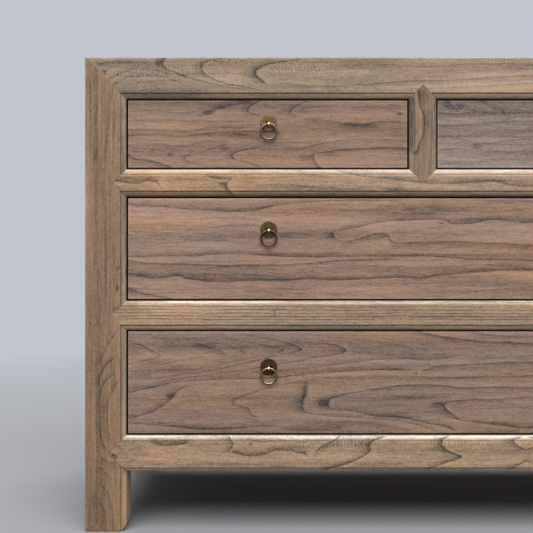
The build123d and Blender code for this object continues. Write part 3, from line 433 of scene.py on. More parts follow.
# Knots, nail holes and smudges: middle, half width and half height in the photograph's pixels, and weight.
# A weight below zero is a pale patch.
MARKS = {
    "top_front_rail": (
        (440, 65, 80, 7, -0.14), (196, 76, 26, 8, 0.14), (490, 82, 60, 12, -0.14), (216, 80, 40, 7, -0.14),
        (330, 72, 60, 6, -0.1), (104.5, 72.4, 3.8, 3.6, 0.6), (99, 63.5, 6, 2.4, 0.25),
        (158, 62, 6, 4, 0.45),
    ),
    "upper_front_rail": (
        (114, 182, 50, 18, 0.32), (222.5, 183.4, 6.5, 2.6, 0.6), (396, 188.6, 14, 2.6, 0.4),
    ),
    "middle_front_rail": (
        (114, 314, 44, 18, 0.28), (500, 314, 130, 40, -0.13), (160, 314, 80, 40, 0.07),
        (274.8, 312.8, 1, 4.6, 0.7),
    ),
    "bottom_front_rail": (
        (500, 452, 120, 40, -0.08), (180, 458, 70, 6, -0.1), (350, 457, 90, 7, -0.12),
        (112, 452, 44, 22, 0.32), (113.4, 456.4, 3.4, 4, 0.5), (155, 441.2, 7, 3, 0.22),
        (183, 441.6, 6, 2.8, 0.22), (169.5, 442.6, 20, 2.8, 0.36), (250.5, 443.6, 2.4, 2, 0.5),
    ),
    "front_left_post": (
        (91, 300, 7, 280, -0.2), (109, 230, 8, 260, 0.14), (108, 338, 9, 44, 0.1), (93, 400, 8, 110, -0.1),
        (105, 470, 40, 110, -0.12), (116, 309.5, 5, 4.4, 0.5), (117, 288.6, 1.6, 4.2, 0.8),
        (118, 268, 3, 3, 0.4),
    ),
    "drawer_divider": ((424, 92, 9, 14, 0.3), (415.4, 152.4, 2.4, 3.4, 0.7), (421, 124, 3.4, 8, 0.35)),
    "left_drawer_front": (
        (270, 108, 70, 14, 0.2), (155, 140, 40, 10, -0.15), (360, 140, 50, 11, -0.17),
        (160, 127, 50, 4, -0.2), (300, 137, 50, 5, -0.22), (180, 137, 60, 4, -0.16),
        (260, 107, 30, 6, -0.08), (370, 154, 40, 8, -0.12), (302.6, 109.4, 0.8, 0.8, 1.4),
        (331, 116, 0.8, 0.8, 1.4), (337.6, 114.4, 0.8, 1.1, 1.4), (340.6, 123, 0.6, 0.6, 1.2),
        (171, 155, 4.6, 3.2, 0.5), (152.6, 149.7, 3, 2, 0.35), (209, 112.4, 9, 3.4, 0.5),
        (224, 148, 6, 4.4, 0.4), (400, 114, 3.4, 1.8, 0.6), (392, 106, 9, 2.6, 0.35),
        (304, 158, 9, 4, 0.35), (360, 125.6, 26, 4, 0.28),
    ),
    "right_drawer_front": (
        (484, 112, 100, 30, 0.17), (478, 160, 90, 22, -0.26), (477, 146, 7, 3.2, 0.5),
        (446, 105, 6, 4, 0.35), (460, 106, 5, 4.6, 0.35), (528, 104, 4, 4, 0.4),
    ),
    "middle_drawer_front": (
        (390, 209, 120, 11, 0.22), (147, 258, 26, 12, -0.15), (480, 250, 110, 90, 0.1),
        (140, 250, 70, 90, -0.05), (180, 224, 60, 12, -0.1), (240, 258, 90, 3.4, -0.2),
        (420, 262, 90, 5, -0.12), (360, 290, 80, 5, -0.12), (440.6, 223.2, 4, 1, 0.9),
        (384, 236.4, 7, 2.6, 0.35), (288, 215, 3, 1.6, 0.45), (327, 235, 8, 5, 0.18),
        (470, 219, 24, 3, 0.3), (132, 290, 7, 5, 0.35),
    ),
    "lower_drawer_front": (
        (500, 360, 40, 11, 0.2), (246, 392, 30, 10, 0.18), (162, 368, 34, 14, 0.2),
        (147, 343, 24, 9, -0.14), (450, 425, 90, 10, -0.17), (400, 373.5, 110, 4, -0.22),
        (185, 357, 40, 9, -0.15), (150, 352, 14, 7, -0.14), (300, 412, 60, 8, -0.1),
        (416.6, 373.2, 2.2, 1.6, 1), (304, 392, 4, 9, 0.45), (322, 402, 6, 6, 0.4),
        (437, 404.6, 9, 3.4, 0.45), (170, 396, 5, 4, 0.45), (140, 376, 14, 6, 0.25), (206, 346, 14, 4, 0.3),
        (132, 417, 8, 4, 0.35), (418, 397, 40, 2.6, 0.3),
    ),
}

# How each front board differs from the plain colour of its wood: its brightness, and its warmth, by which
# its red rises and its blue falls
PLAIN_TONE = (1.0, 0.0)
BOARD_TONES = {
    "front_left_post": (0.81, 0.08),
    "top_front_rail": (0.99, -0.07),
    "upper_front_rail": (1.22, 0.01),
    "middle_front_rail": (1.2, -0.02),
    "bottom_front_rail": (1.32, 0.0),
    "drawer_divider": (0.73, 0.0),
    "left_drawer_front": (0.95, 0.03),
    "right_drawer_front": (1.06, -0.12),
    "middle_drawer_front": (1.11, 0.03),
    "lower_drawer_front": (0.97, -0.02),
}


class Flow:
    """One socket of a material's nodes. Arithmetic on it adds Math nodes."""

    def __init__(self, tree, socket):
        self.tree = tree
        self.socket = socket

    def add(self, kind, settings, sockets, out=0):
        """A new node of this kind: first its settings, then the values or links of its sockets."""
        node = self.tree.nodes.new(kind)
        for key, value in settings.items():
            if key == "curve":
                shape_curve(node.mapping, value)
            else:
                setattr(node, key, value)
        for key, value in sockets.items():
            if isinstance(value, Flow):
                self.tree.links.new(value.socket, node.inputs[key])
            else:
                node.inputs[key].default_value = value
        return Flow(self.tree, node.outputs[out])

    def math(self, operation, *others):
        """A Math node on this value and the others."""
        return self.add("ShaderNodeMath", {"operation": operation}, dict(enumerate((self, *others))))

    def reflected(self, operation, other):
        """A Math node with the other value first and this one second."""
        return self.add("ShaderNodeMath", {"operation": operation}, {0: other, 1: self})

    def __add__(self, other):
        return self.math("ADD", other)

    def __radd__(self, other):
        return self.reflected("ADD", other)

    def __sub__(self, other):
        return self.math("SUBTRACT", other)

    def __rsub__(self, other):
        return self.reflected("SUBTRACT", other)

    def __mul__(self, other):
        return self.math("MULTIPLY", other)

    def __rmul__(self, other):
        return self.reflected("MULTIPLY", other)

    def __truediv__(self, other):
        return self.math("DIVIDE", other)

    def __rtruediv__(self, other):
        return self.reflected("DIVIDE", other)

    def __pow__(self, other):
        return self.math("POWER", other)

    def __abs__(self):
        return self.math("ABSOLUTE")

    def axes(self):
        """The x, y and z of these coordinates."""
        outputs = self.add("ShaderNodeSeparateXYZ", {}, {0: self}).socket.node.outputs
        return [Flow(self.tree, output) for output in outputs]

    def curve(self, points):
        """The height, at this place from 0 to 1, of a smooth curve through these points."""
        return self.add("ShaderNodeFloatCurve", {"curve": points}, {"Value": self})

    def share(self, low, high):
        """How far this value lies from low to high, held between 0 and 1."""
        return self.add("ShaderNodeMapRange", {"clamp": True}, {0: self, 1: low, 2: high})

    def rise(self, low, high):
        """0 below low, 1 above high and a smooth step between them. It falls where low is above high."""
        settings = {"interpolation_type": "SMOOTHSTEP", "clamp": True}
        if low < high:
            return self.add("ShaderNodeMapRange", settings, {0: self, 1: low, 2: high})
        return self.add("ShaderNodeMapRange", settings, {0: self, 1: high, 2: low, 3: 1.0, 4: 0.0})

    def between(self, first, second, kind="MIX"):
        """The colour this far from the first to the second, or to their product if the kind is MULTIPLY."""
        settings = {"data_type": "RGBA", "blend_type": kind, "clamp_factor": True}
        return self.add("ShaderNodeMix", settings, {0: self, 6: first, 7: second}, 2)

    def noise(self, stretch, shift, detail=2.0, rough=0.5):
        """Cloudy noise of these coordinates, stretched by a factor on each axis. Its middle is 0.5."""
        settings = {"operation": "MULTIPLY_ADD"}
        place = self.add("ShaderNodeVectorMath", settings, {0: self, 1: stretch, 2: shift})
        sockets = {"Vector": place, "Scale": 1.0, "Detail": detail, "Roughness": rough}
        return self.add("ShaderNodeTexNoise", {"noise_dimensions": "3D"}, sockets)


def shape_curve(mapping, points):
    """Puts these points, from 0 to 1 both ways, on a Float Curve that is level beyond them."""
    mapping.extend = "HORIZONTAL"
    curve = mapping.curves[0]
    curve.points[0].location = points[0]
    curve.points[1].location = points[-1]
    for place in points[1:-1]:
        curve.points.new(*place)
    for point in curve.points:
        point.handle_type = "AUTO_CLAMPED"
    mapping.update()


def linear(red, green, blue):
    """A colour written as it shows on a screen, from 0 to 255, as the light values that Blender uses."""
    parts = np.array((red, green, blue)) / 255
    light = np.where(parts <= 0.04045, parts / 12.92, ((parts + 0.055) / 1.055) ** 2.4)
    return tuple(float(part) for part in light)


def tint(colour, factor):
    """A colour times one factor, or times a factor for each of its parts, with full alpha."""
    return (*(float(part) for part in np.array(colour) * np.array(factor)), 1.0)


def new_material(name):
    """A material with one shader, and the Object coordinates that its patterns read."""
    material = bpy.data.materials.new(name)
    material.use_nodes = True
    tree = material.node_tree
    shader = tree.nodes["Principled BSDF"]
    coordinates = Flow(tree, tree.nodes.new("ShaderNodeTexCoord").outputs["Object"])
    return material, shader, coordinates


def set_sockets(coordinates, shader, sockets):
    """Sets the shader's sockets: a plain number or colour on the socket, and a pattern by a link."""
    for key, value in sockets.items():
        if isinstance(value, Flow):
            coordinates.tree.links.new(value.socket, shader.inputs[key])
        else:
            shader.inputs[key].default_value = value


# Elm boards


def sawn(name):
    """Which axes run along the grain, across the face and into the depth of the named board."""
    if name.endswith("post") or name in ("drawer_divider", "back_muntin", "back_panels"):
        return "ZXY"
    if name.endswith("side_panel"):
        return "ZYX"
    if name in ("top_left_rail", "top_right_rail"):
        return "YZX"
    if name in ("left_bottom_rail", "right_bottom_rail") or name.endswith("_side") or "runner" in name:
        return "YZX"
    if name == "top_battens":
        return "YXZ"
    if name == "top_panel" or name.endswith("_bottom"):
        return "XYZ"
    return "XZY"


# How far, in metres, a board's figure waves along the grain and across it
WAVE_ALONG = 0.004
WAVE_ACROSS = 0.0024


class Board:
    """One board's material in the making, with its places along, across and into the grain in metres.

    Its run and off are the places along and across that the figure follows, with a slight wave.
    """

    def __init__(self, name, seed):
        self.name = name
        self.seed = seed
        self.noises = 0
        self.material, self.shader, self.coordinates = new_material(f"elm_{name}")
        axes = self.coordinates.axes()
        self.x, self.y, self.z = axes
        self.order = ["XYZ".index(axis) for axis in sawn(name)]
        self.along, self.across, self.depth = (axes[index] for index in self.order)
        run = self.along
        if sawn(name) == "XZY" and name != "left_drawer_front":
            run = TURN_X - abs(run - TURN_X)
        self.run = run + (self.noise(22.0, 60.0, 0.0) - 0.5) * WAVE_ALONG
        self.off = self.across + (self.noise(18.0, 55.0, 0.0) - 0.5) * WAVE_ACROSS

    def noise(self, along, across, detail=2.0, rough=0.5):
        """Cloudy noise drawn out along the grain, with about this many changes to the metre each way."""
        self.noises += 1
        stretch = [across, across, across]
        stretch[self.order[0]] = along
        start = self.seed * 3.1 + self.noises * 7.7
        return self.coordinates.noise(stretch, (start, start * 1.7, start * 0.6), detail, rough)


# Darkness over a growth line: from the far end of its shade, over its middle, to the pale rim on its sharp
# side. Away from the line the curve lies at the plain level of the wood.
PLAIN_LEVEL = 0.14
LINE_SHAPE = (
    (0.0, PLAIN_LEVEL), (0.08, 0.17), (0.2, 0.29), (0.32, 0.45), (0.42, 0.66), (0.47, 0.95), (0.5, 1.0),
    (0.53, 0.62), (0.56, 0.12), (0.6, 0.0), (0.68, 0.03), (0.85, 0.12), (1.0, PLAIN_LEVEL),
)

# How far in metres the shade of a line of thickness 1 reaches, the share of its length over which it fades
# at either end, the room in metres that its curve has at both sides, and the boards whose lines are softer
LINE_REACH = 0.017
LINE_FADE = 0.06
LINE_ROOM = 0.001
SOFT_LINES = {"front_left_post": 0.75}


def on_face(name, pixels):
    """Places along and across the grain that pixels of the photograph show on a board's face.

    A pixel lies as many focal lengths from the picture's middle as its place on the board lies depths
    of that face from the camera's axis.
    """
    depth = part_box(name)[0].y - CAMERA_PLACE[1]
    x, z = (np.array(pixels).T - PHOTO_PX / 2) * depth / FOCUS_PX
    places = {"X": CAMERA_PLACE[0] + x, "Z": CAMERA_PLACE[2] - z}
    return np.stack([places[axis] for axis in sawn(name)[:2]], axis=1)


def carried_on(pixels):
    """A level line from left to right, with a point past the board's end or the picture's edge.

    That point follows a share of the slope between the line's last two points there.
    """
    pixels = sorted(pixels)
    (x, y), (next_x, next_y) = pixels[:2]
    if LEFT_END_PX[0] < x <= LEFT_END_PX[1]:
        slope = (next_y - y) / (next_x - x) * LEFT_SLOPE
        pixels.insert(0, (LEFT_CARRY_PX, y + slope * (LEFT_CARRY_PX - x)))
    (last_x, last_y), (x, y) = pixels[-2:]
    if x >= RIGHT_EDGE_PX:
        slope = (y - last_y) / (x - last_x) * RIGHT_SLOPE
        pixels.append((RIGHT_CARRY_PX, y + slope * (RIGHT_CARRY_PX - x)))
    return pixels


def growth_line(board, kind, weight, thick, pixels):
    """One growth line: a curve over the board's face, with its darkness by the distance from it."""
    if kind == "level" and sawn(board.name) == "XZY":
        pixels = carried_on(pixels)
    points = on_face(board.name, pixels)
    run, off = board.run, board.off
    if kind == "tip":
        run, off = off, run
        points = points[:, ::-1]
    points = points[points[:, 0].argsort()]
    start, low = points.min(axis=0) - (0.0, LINE_ROOM)
    end, high = points.max(axis=0) + (0.0, LINE_ROOM)
    share = run.share(start, end)
    place = share.curve(((points - (start, low)) / (end - start, high - low)).tolist())
    away = off - (place * (high - low) + low)
    dark = (away / (2 * LINE_REACH * thick) + 0.5).curve(LINE_SHAPE) - PLAIN_LEVEL
    weight = weight * SOFT_LINES.get(board.name, 1.0)
    return dark * share.rise(0.0, LINE_FADE) * share.rise(1.0, 1.0 - LINE_FADE) * weight


def mark(board, x, y, half_width, half_height, weight):
    """A soft spot: full in its middle and nothing at the edge of an oval of this size."""
    middle, corner = on_face(board.name, ((x, y), (x + half_width, y + half_height)))
    length, height = abs(corner - middle)
    beside = (board.run - middle[0]) / length
    above = (board.off - middle[1]) / height
    return (beside * beside + above * above).rise(1.0, 0.1) * weight


def straight(board, spacing, lean=0.0, dip=0.35):
    """Ring number of nearly parallel lines, that lean along the board and run on into its depth."""
    return (board.off + board.along * lean + board.depth * dip) / spacing


def arches(board, middle, width, spacing, tilt=0.08):
    """Ring number of nested arches: the place along the grain less the square of that off their middle."""
    off = board.off - middle
    return (board.run - off * off / width - board.depth / tilt) / spacing


# Shape of the lines that cross the bottom rail: share of its height, share of their sway. Then the whole
# sway in metres, and how far a line shifts for each metre of depth
CROSSING_SHAPE = (
    (0.0, 0.0), (0.12, 0.3), (0.24, 0.64), (0.32, 0.88), (0.38, 0.97), (0.44, 0.88), (0.52, 0.68),
    (0.62, 0.5), (0.73, 0.42), (0.81, 0.44), (0.92, 0.6), (1.0, 0.75),
)
CROSSING_SWAY = 0.06
CROSSING_SHIFT = 3.0


def crossing(board, spacing):
    """Ring number of equal lines that cross a rail, each with the sideways sway that a curve gives."""
    low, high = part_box(board.name)
    bend = board.off.share(low.z, high.z).curve(CROSSING_SHAPE) * CROSSING_SWAY
    return (board.run - bend - (board.depth - FRONT_Y) * CROSSING_SHIFT) / spacing


# Middle lines of the arches on the boards, in metres, of which the top rail's rises along it, and the
# weight of the feathering on boards with arched rings
TOP_RAIL_ARCH_Z = 0.84
TOP_RAIL_ARCH_RISE = 0.03
UPPER_RAIL_ARCH_Z = 0.61
POST_ARCH_X = 0.57
SIDE_ARCH_Y = 0.04
BACK_ARCH_X = 0.28
TOP_PANEL_ARCH_Y = -0.02
ARCH_FEATHERING = 0.4


def arched(board, middle, width, spacing, weight, fine=0.008):
    """Arches as the rings of a board, and the same arches closer together as its feathering."""
    feathers = arches(board, middle, width, fine)
    return arches(board, middle, width, spacing), weight, feathers, ARCH_FEATHERING


def figure_of_board(board):
    """The ring number on a board and the weight of its ring lines, then the same for its fine feathering."""
    name = board.name
    level = straight(board, spacing=0.006, lean=0.03)
    if name == "top_front_rail":
        middle = board.along * TOP_RAIL_ARCH_RISE + TOP_RAIL_ARCH_Z
        stronger_left = board.x.rise(0.05, -0.3) * 0.8 + 0.5
        feathers = arches(board, middle, width=0.028, spacing=0.0058)
        return arches(board, middle, width=0.0105, spacing=0.075), 0.1, feathers, stronger_left
    if name == "upper_front_rail":
        feathers = arches(board, UPPER_RAIL_ARCH_Z, width=0.02, spacing=0.008)
        return straight(board, spacing=0.026, lean=0.05), 0.2, feathers, 0.5
    if name == "middle_front_rail":
        return straight(board, spacing=0.0056, lean=0.004), 2.6, level, 0.0
    if name == "bottom_front_rail":
        return crossing(board, spacing=0.062), 0.0, crossing(board, spacing=0.0062), 1.0
    if name == "drawer_divider":
        return straight(board, spacing=0.012), 0.5, level, 0.2
    if name in ("left_drawer_front", "right_drawer_front", "middle_drawer_front"):
        return straight(board, spacing=0.0125, lean=0.01), 0.3, level, 0.3
    if name == "lower_drawer_front":
        return straight(board, spacing=0.0145, lean=-0.06), 0.25, level, 0.3
    if name == "front_left_post":
        return straight(board, spacing=0.0066, lean=0.006), 0.6, level, 0.0
    if name.endswith("post"):
        middle = POST_ARCH_X if "right" in name else -POST_ARCH_X
        return arched(board, middle, width=0.014, spacing=0.085, weight=0.5, fine=0.007)
    if name.endswith("side_panel"):
        return arched(board, SIDE_ARCH_Y, width=0.06, spacing=0.12, weight=0.55)
    if name == "back_panels":
        # On the right half this turns the distance round, so that the two panels mirror each other
        middle = abs(board.x) - BACK_ARCH_X + board.x
        return arched(board, middle, width=0.06, spacing=0.12, weight=0.5)
    if name == "top_panel":
        return arched(board, TOP_PANEL_ARCH_Y, width=0.05, spacing=0.16, weight=0.55)
    return straight(board, spacing=0.014, lean=0.02), 0.4, level, 0.2


# Colours of the wood as factors on a board's plain tone: its palest and its darkest, then the yellow and
# the grey that slow patches of it turn to
PALE_WOOD = (1.73, 1.67, 1.62)
DARK_WOOD = (0.22, 0.25, 0.29)
YELLOW_PATCH = (1.08, 1.0, 0.84, 1.0)
GREY_PATCH = (0.93, 0.97, 1.03, 1.0)

# Darkness of the wood between its lines, of the lines themselves, which are fainter on one drawer, and of
# the open pores. The sum of all is drawn in to this contrast
PLAIN_DARKNESS = 0.51
LINE_DARKNESS = 0.76
FAINT_LINES = {"middle_drawer_front": 0.64}
PORE_DARKNESS = 0.18
CONTRAST = 0.83

# How rough the wood is, and how deep in metres its open grain lies
WOOD_ROUGHNESS = 0.6
GRAIN_DEPTH = 0.0007


def elm(name, tone, seed, settings):
    """Reclaimed elm for one board.

    Bands, streaks and fibres run along the grain. Growth lines are thin and dark and fade out on one
    side, fine feathering lies between the rings, and open pores are dark dashes. Slow patches turn the
    tint to yellow or grey. Pores and soft fibres lie a little deeper than the wood round them.
    """
    board = Board(name, seed)
    rings, ring_weight, feathers, feather_weight = figure_of_board(board)
    rings = rings + board.noise(2.4, 14.0) * 1.1
    number = rings.math("FLOOR")
    phase = rings - number
    one_number = {"noise_dimensions": "1D"}
    strength = board.coordinates.add("ShaderNodeTexWhiteNoise", one_number, {"W": number + seed})
    broken = board.noise(9.0, 40.0).rise(0.3, 0.62)
    lines = (phase ** 9.0 * 0.6 + phase ** 3.0 * 0.4) * (strength * 0.8 + 0.2) * (broken * 0.75 + 0.25)
    lines = lines * ring_weight
    for line in GROWTH_LINES.get(name, ()):
        lines = lines + growth_line(board, *line)
    plain = PLAIN_DARKNESS
    for spot in MARKS.get(name, ()):
        if spot[-1] > 0:
            lines = lines + mark(board, *spot)
        else:
            plain = plain + mark(board, *spot)

    cloud = board.noise(3.5, 20.0, 1.0) - 0.5
    band = board.noise(1.1, 40.0, 2.0) - 0.5
    streak = board.noise(7.0, 130.0, 3.0, 0.6) - 0.5
    fibre = board.noise(34.0, 340.0, 2.0, 0.6) - 0.5
    fleck = board.noise(130.0, 330.0, 2.0, 0.6) - 0.5
    grain = board.noise(300.0, 560.0, 1.0) - 0.5
    pores = board.noise(130.0, 800.0, 1.0).rise(0.6, 0.7)
    zigzag = board.noise(120.0, 200.0, 2.0) - 0.5
    patches = board.noise(9.0, 45.0).rise(0.4, 0.62)
    feather = (abs((feathers + zigzag * 2.0).math("FRACT") - 0.5) - 0.25) * patches

    lines = lines.math("MINIMUM", 1.0)
    bold = FAINT_LINES.get(name, LINE_DARKNESS) * settings.figure
    darkness = lines * (broken * 0.2 + fleck * 0.3 + 0.8) * bold
    coarse = cloud * 0.5 + band * 1.1 + streak * 0.6
    fine = fibre * 0.7 + fleck * 0.42 + grain * 0.7
    darkness = darkness + (coarse + fine) * settings.fibre
    darkness = (darkness + feather * feather_weight + pores * PORE_DARKNESS + plain) * CONTRAST
    wood = darkness.between(tint(tone, PALE_WOOD), tint(tone, DARK_WOOD))
    yellow = board.noise(2.2, 20.0).rise(0.48, 0.7)
    grey = board.noise(2.6, 24.0).rise(0.5, 0.7)
    wood = (yellow * 0.85).between(wood, YELLOW_PATCH, "MULTIPLY")
    wood = (grey * 0.8).between(wood, GREY_PATCH, "MULTIPLY")
    wood = finish_edges(board, wood, settings)

    height = 1.0 - pores * 0.6 - fibre * 0.9 - fleck * 0.7
    bump = {"Strength": 0.4, "Distance": GRAIN_DEPTH, "Height": height}
    bumped = board.coordinates.add("ShaderNodeBump", {}, bump)
    roughness = WOOD_ROUGHNESS + fibre * 0.3 + lines * 0.1
    sockets = {"Base Color": wood, "Roughness": roughness, "Normal": bumped, "Specular IOR Level": 0.3}
    set_sockets(board.coordinates, board.shader, sockets)
    return board.material


# Strips of wear, dirt, painted highlight and painted shade along edges: how far from its middle or edge, in
# metres, a strip ends, and how far it is full. A moulding's fillet, with its painted highlight, lies past
# its quirk, by this share of the moulding's width
FILLET_SHARE = 1.18
FILLET_STRIP = (0.0013, 0.0004)
QUIRK_STRIP = (0.0012, 0.0003)
GAP_SHADE_STRIP = (0.0014, 0.0007)
RIM_STRIP = (0.0032, 0.001)
JOINT_STRIP = (0.0017, 0.0004)

# How far behind the front the painted shade in the gap round an opening ends and how far it is full, and
# the height in metres over which it starts above the foot
GAP_SHADE_DEPTH = (0.03, 0.015)
GAP_SHADE_START = 0.001

# The worked edges of each front board, first its left or lower one and then its right or upper one: width,
# wear and dirt. Wear pales a moulding, partly as wear and partly as painted highlight; wear below zero
# is painted shade that darkens the moulding instead. Dirt darkens the quirk, as dirt and painted shade.
WORKED_EDGES = {
    "front_left_post": ((POST_CORNER_W, 0.3, 0.0), (MOULD_W, 0.5, 0.4)),
    "front_right_post": ((MOULD_W, 0.5, 0.4), (POST_CORNER_W, 0.3, 0.0)),
    "drawer_divider": ((MOULD_W, 0.45, 0.3), (MOULD_W, 0.3, 0.3)),
    "top_front_rail": ((MOULD_W, 0.0, 1.0), (TOP_CORNER_W, 0.2, 0.0)),
    "upper_front_rail": ((MOULD_W, -0.6, 1.0), (MOULD_W, 0.65, 0.7)),
    "middle_front_rail": ((MOULD_W, 0.0, 1.0), (MOULD_W, 0.85, 0.7)),
    "bottom_front_rail": ((LOWER_BEAD_W, 0.0, 1.0), (MOULD_W, 1.5, 0.7)),
}


def joint_gap(board):
    """How far a point lies from the mitred end of its board, or None on a board that shows no dark joint."""
    if board.name != "drawer_divider" and not board.name.endswith("front_rail"):
        return None
    low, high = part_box(board.name)
    if board.name == "top_front_rail":
        return board.z - abs(board.x) - (LEFT_X + TOP_Z)
    if board.name.endswith("front_rail"):
        half = (high.z - low.z) / 2
        return INNER_X + half - abs(board.z - (low.z + half)) - abs(board.x)
    tall = (high.z - low.z) / 2
    return tall - abs(board.z - (low.z + tall)) - abs(board.x)


def finish_worked_edges(board, wood, settings):
    """Paler worked edges from wear and painted highlight, painted shade on darkened mouldings, dirt and
    painted shade in their quirks, and painted shade in the gap by the openings.
    """
    paler_by_wear_and_light = (*settings.wear_and_highlight_tint, 1.0)
    grime_and_shade = tint(settings.grime_and_shade_colour, 1.0)
    rubbed = board.noise(10.0, 170.0, 3.0).rise(0.3, 0.7) * 0.6 + 0.4
    across = board.order[1]
    for side, corner, edge in zip((-1, 1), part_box(board.name), WORKED_EDGES[board.name]):
        width, wear, dirt_and_shade = edge
        inside = (corner[across] - board.across) * side
        # Line along the fillet: a painted highlight, added to the strip of wear
        painted_fillet_light = abs(inside - width * FILLET_SHARE).rise(*FILLET_STRIP)
        wear_and_painted_light = inside.rise(width * 1.05, width * 0.2) + painted_fillet_light * 0.4
        # Paler moulding: partly wear and partly painted highlight
        if wear > 0:
            wood = (wear_and_painted_light * rubbed * (wear * settings.wear)).between(wood, paler_by_wear_and_light, "MULTIPLY")
        # Painted shade: a moulding with wear below zero is darkened toward the grime colour
        elif wear < 0:
            wood = (wear_and_painted_light * -wear).between(wood, grime_and_shade)
        # Dark quirk line: dirt and painted shade
        quirk_shade_and_dirt = abs(inside - width).rise(*QUIRK_STRIP) * (dirt_and_shade * 0.7)
        wood = quirk_shade_and_dirt.between(wood, grime_and_shade)
        # Painted shade: the faces in the gap round an opening are darkened near the front, above a post's
        # foot
        if width == MOULD_W:
            near_front = board.y.rise(FRONT_Y + GAP_SHADE_DEPTH[0], FRONT_Y + GAP_SHADE_DEPTH[1])
            painted_gap_shade = inside.rise(*GAP_SHADE_STRIP) * near_front * 0.9
            if board.name.endswith("post"):
                painted_gap_shade = painted_gap_shade * board.z.rise(FOOT_TOP_Z - GAP_SHADE_START, FOOT_TOP_Z + GAP_SHADE_START)
            wood = painted_gap_shade.between(wood, tint(settings.grime_and_shade_colour, 0.4))
    return wood


def finish_edges(board, wood, settings):
    """Rubbed rims on the drawer fronts, worked edges, and dark hairlines where boards meet."""
    if board.name.endswith("drawer_front"):
        low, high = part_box(board.name)
        edge = (board.x - low.x).math("MINIMUM", high.x - board.x)
        edge = edge.math("MINIMUM", (board.z - low.z).math("MINIMUM", high.z - board.z))
        rim = edge.rise(*RIM_STRIP) * (0.2 * settings.wear)
        wood = rim.between(wood, (*settings.wear_and_highlight_tint, 1.0), "MULTIPLY")
    if board.name in WORKED_EDGES:
        wood = finish_worked_edges(board, wood, settings)
    gap = joint_gap(board)
    if gap is not None:
        dirt_and_shade = 0.25 if board.name == "top_front_rail" else 0.5
        wood = (gap.rise(*JOINT_STRIP) * dirt_and_shade).between(wood, tint(settings.grime_and_shade_colour, 1.0))
    return wood


# Ring pulls

# The slot that each plate is punched with for the eye's shank shows at one side of the eye, as painted
# shade. How far it lies from the eye, half its size, and how far the eye's loop hangs below its shank
SLOT_SHIFT = 0.0036
SLOT_HALF = 0.0021
EYE_DROP = 0.0022
# Near-black colour of the painted shade in the slot
SLOT_PAINTED_SHADE = (0.004, 0.003, 0.002, 1.0)

# The metals: brightness of the skin beside the bare metal, roughness, and clouds of skin to the metre. Then
# the seed of the eyes' clouds, and how deep in metres the dents are
EYE_METAL = (0.55, 0.3, 500.0)
PLATE_METAL = (0.75, 0.6, 220.0)
# On the rings the dull skin is also painted shade under the wire, and the bare metal a painted highlight on
# top
RING_METAL = (0.26, 0.25, 300.0)
EYE_SEED = 2.0
DENT_DEPTH = 0.0003

# Brightness of the plates and of the rings on each drawer. That of the plates is also their pulls' seed
PULL_SHADES = {"left": (1.0, 1.5), "right": (0.95, 1.5), "middle": (0.62, 0.7), "lower": (0.4, 2.0)}


def aged_metal(name, colour, shade, metal, seed, slot=None, ring=None):
    """Old brass: a bright metal under a dull, cloudy skin, worn through in places, with painted shade in its
    slot.

    A ring's wire has a painted highlight where it faces up, and a painted shade, its dark skin, underneath.
    """
    material, shader, coordinates = new_material(name)
    skin_shade, roughness, scale = metal
    clouds = coordinates.noise((scale, scale, scale), (seed, seed * 2.3, seed * 0.7), 4.0, 0.6)
    fine = scale * 6
    specks = coordinates.noise((fine, fine, fine), (seed, seed, seed), 2.0)
    patina_and_painted_shade = clouds.rise(0.36, 0.64)
    x, _, z = coordinates.axes()
    beside = abs(x) - PULL_X
    # Painted light on a ring: the wire is kept bright where it faces up, a painted highlight, and dark
    # underneath, a painted shade
    if ring:
        middle_z, radius, wire = ring
        above = z - middle_z
        reach = (beside * beside + above * above) ** 0.5
        painted_light_facing_up = (reach - radius) / wire * above / reach
        patina_and_painted_shade = painted_light_facing_up.rise(0.75, -0.35) * (patina_and_painted_shade * 0.3 + 0.7)
    paint = patina_and_painted_shade.between(tint(colour, shade), tint(colour, shade * skin_shade))
    # Painted shade: the slot beside the eye is painted near black
    if slot:
        slot_x, slot_z = slot
        beside = (beside - slot_x) / SLOT_HALF
        above = (z - slot_z) / SLOT_HALF
        painted_slot_shade = (beside * beside + above * above).rise(1.2, 0.6)
        paint = painted_slot_shade.between(paint, SLOT_PAINTED_SHADE)
    dents = clouds * 0.7 + specks * 0.3
    bump = {"Strength": 0.5, "Distance": DENT_DEPTH, "Height": dents}
    bumped = coordinates.add("ShaderNodeBump", {}, bump)
    sockets = {
        "Base Color": paint,
        "Metallic": 1.0,
        "Roughness": roughness + patina_and_painted_shade * 0.15 + (specks - 0.5) * 0.1,
        "Normal": bumped,
    }
    set_sockets(coordinates, shader, sockets)
    return material


def put_on(node, material):
    """Gives a CAD node this material in all its slots."""
    for slot in frame["nodes"][node].material_slots:
        slot.material = material


def grid_faces(rows, columns):
    """Quads of a grid of vertices that closes on itself in both directions, as rows of four indices."""
    row, column = np.meshgrid(np.arange(rows), np.arange(columns), indexing="ij")
    below = (row + 1) % rows
    right = (column + 1) % columns
    here = row * columns
    under = below * columns
    corners = (here + column, here + right, under + right, under + column)
    return np.stack(corners, axis=-1).reshape(-1, 4)


def make_piece(name, points, faces, material):
    """A smooth mesh object at the origin, with these points and faces."""
    mesh = bpy.data.meshes.new(name)
    mesh.from_pydata(points.reshape(-1, 3).tolist(), [], faces.tolist())
    mesh.polygons.foreach_set("use_smooth", np.ones(len(mesh.polygons), dtype=bool))
    mesh.validate()
    mesh.update()
    mesh.materials.append(material)
    piece = bpy.data.objects.new(name, mesh)
    bpy.context.scene.collection.objects.link(piece)
    return piece


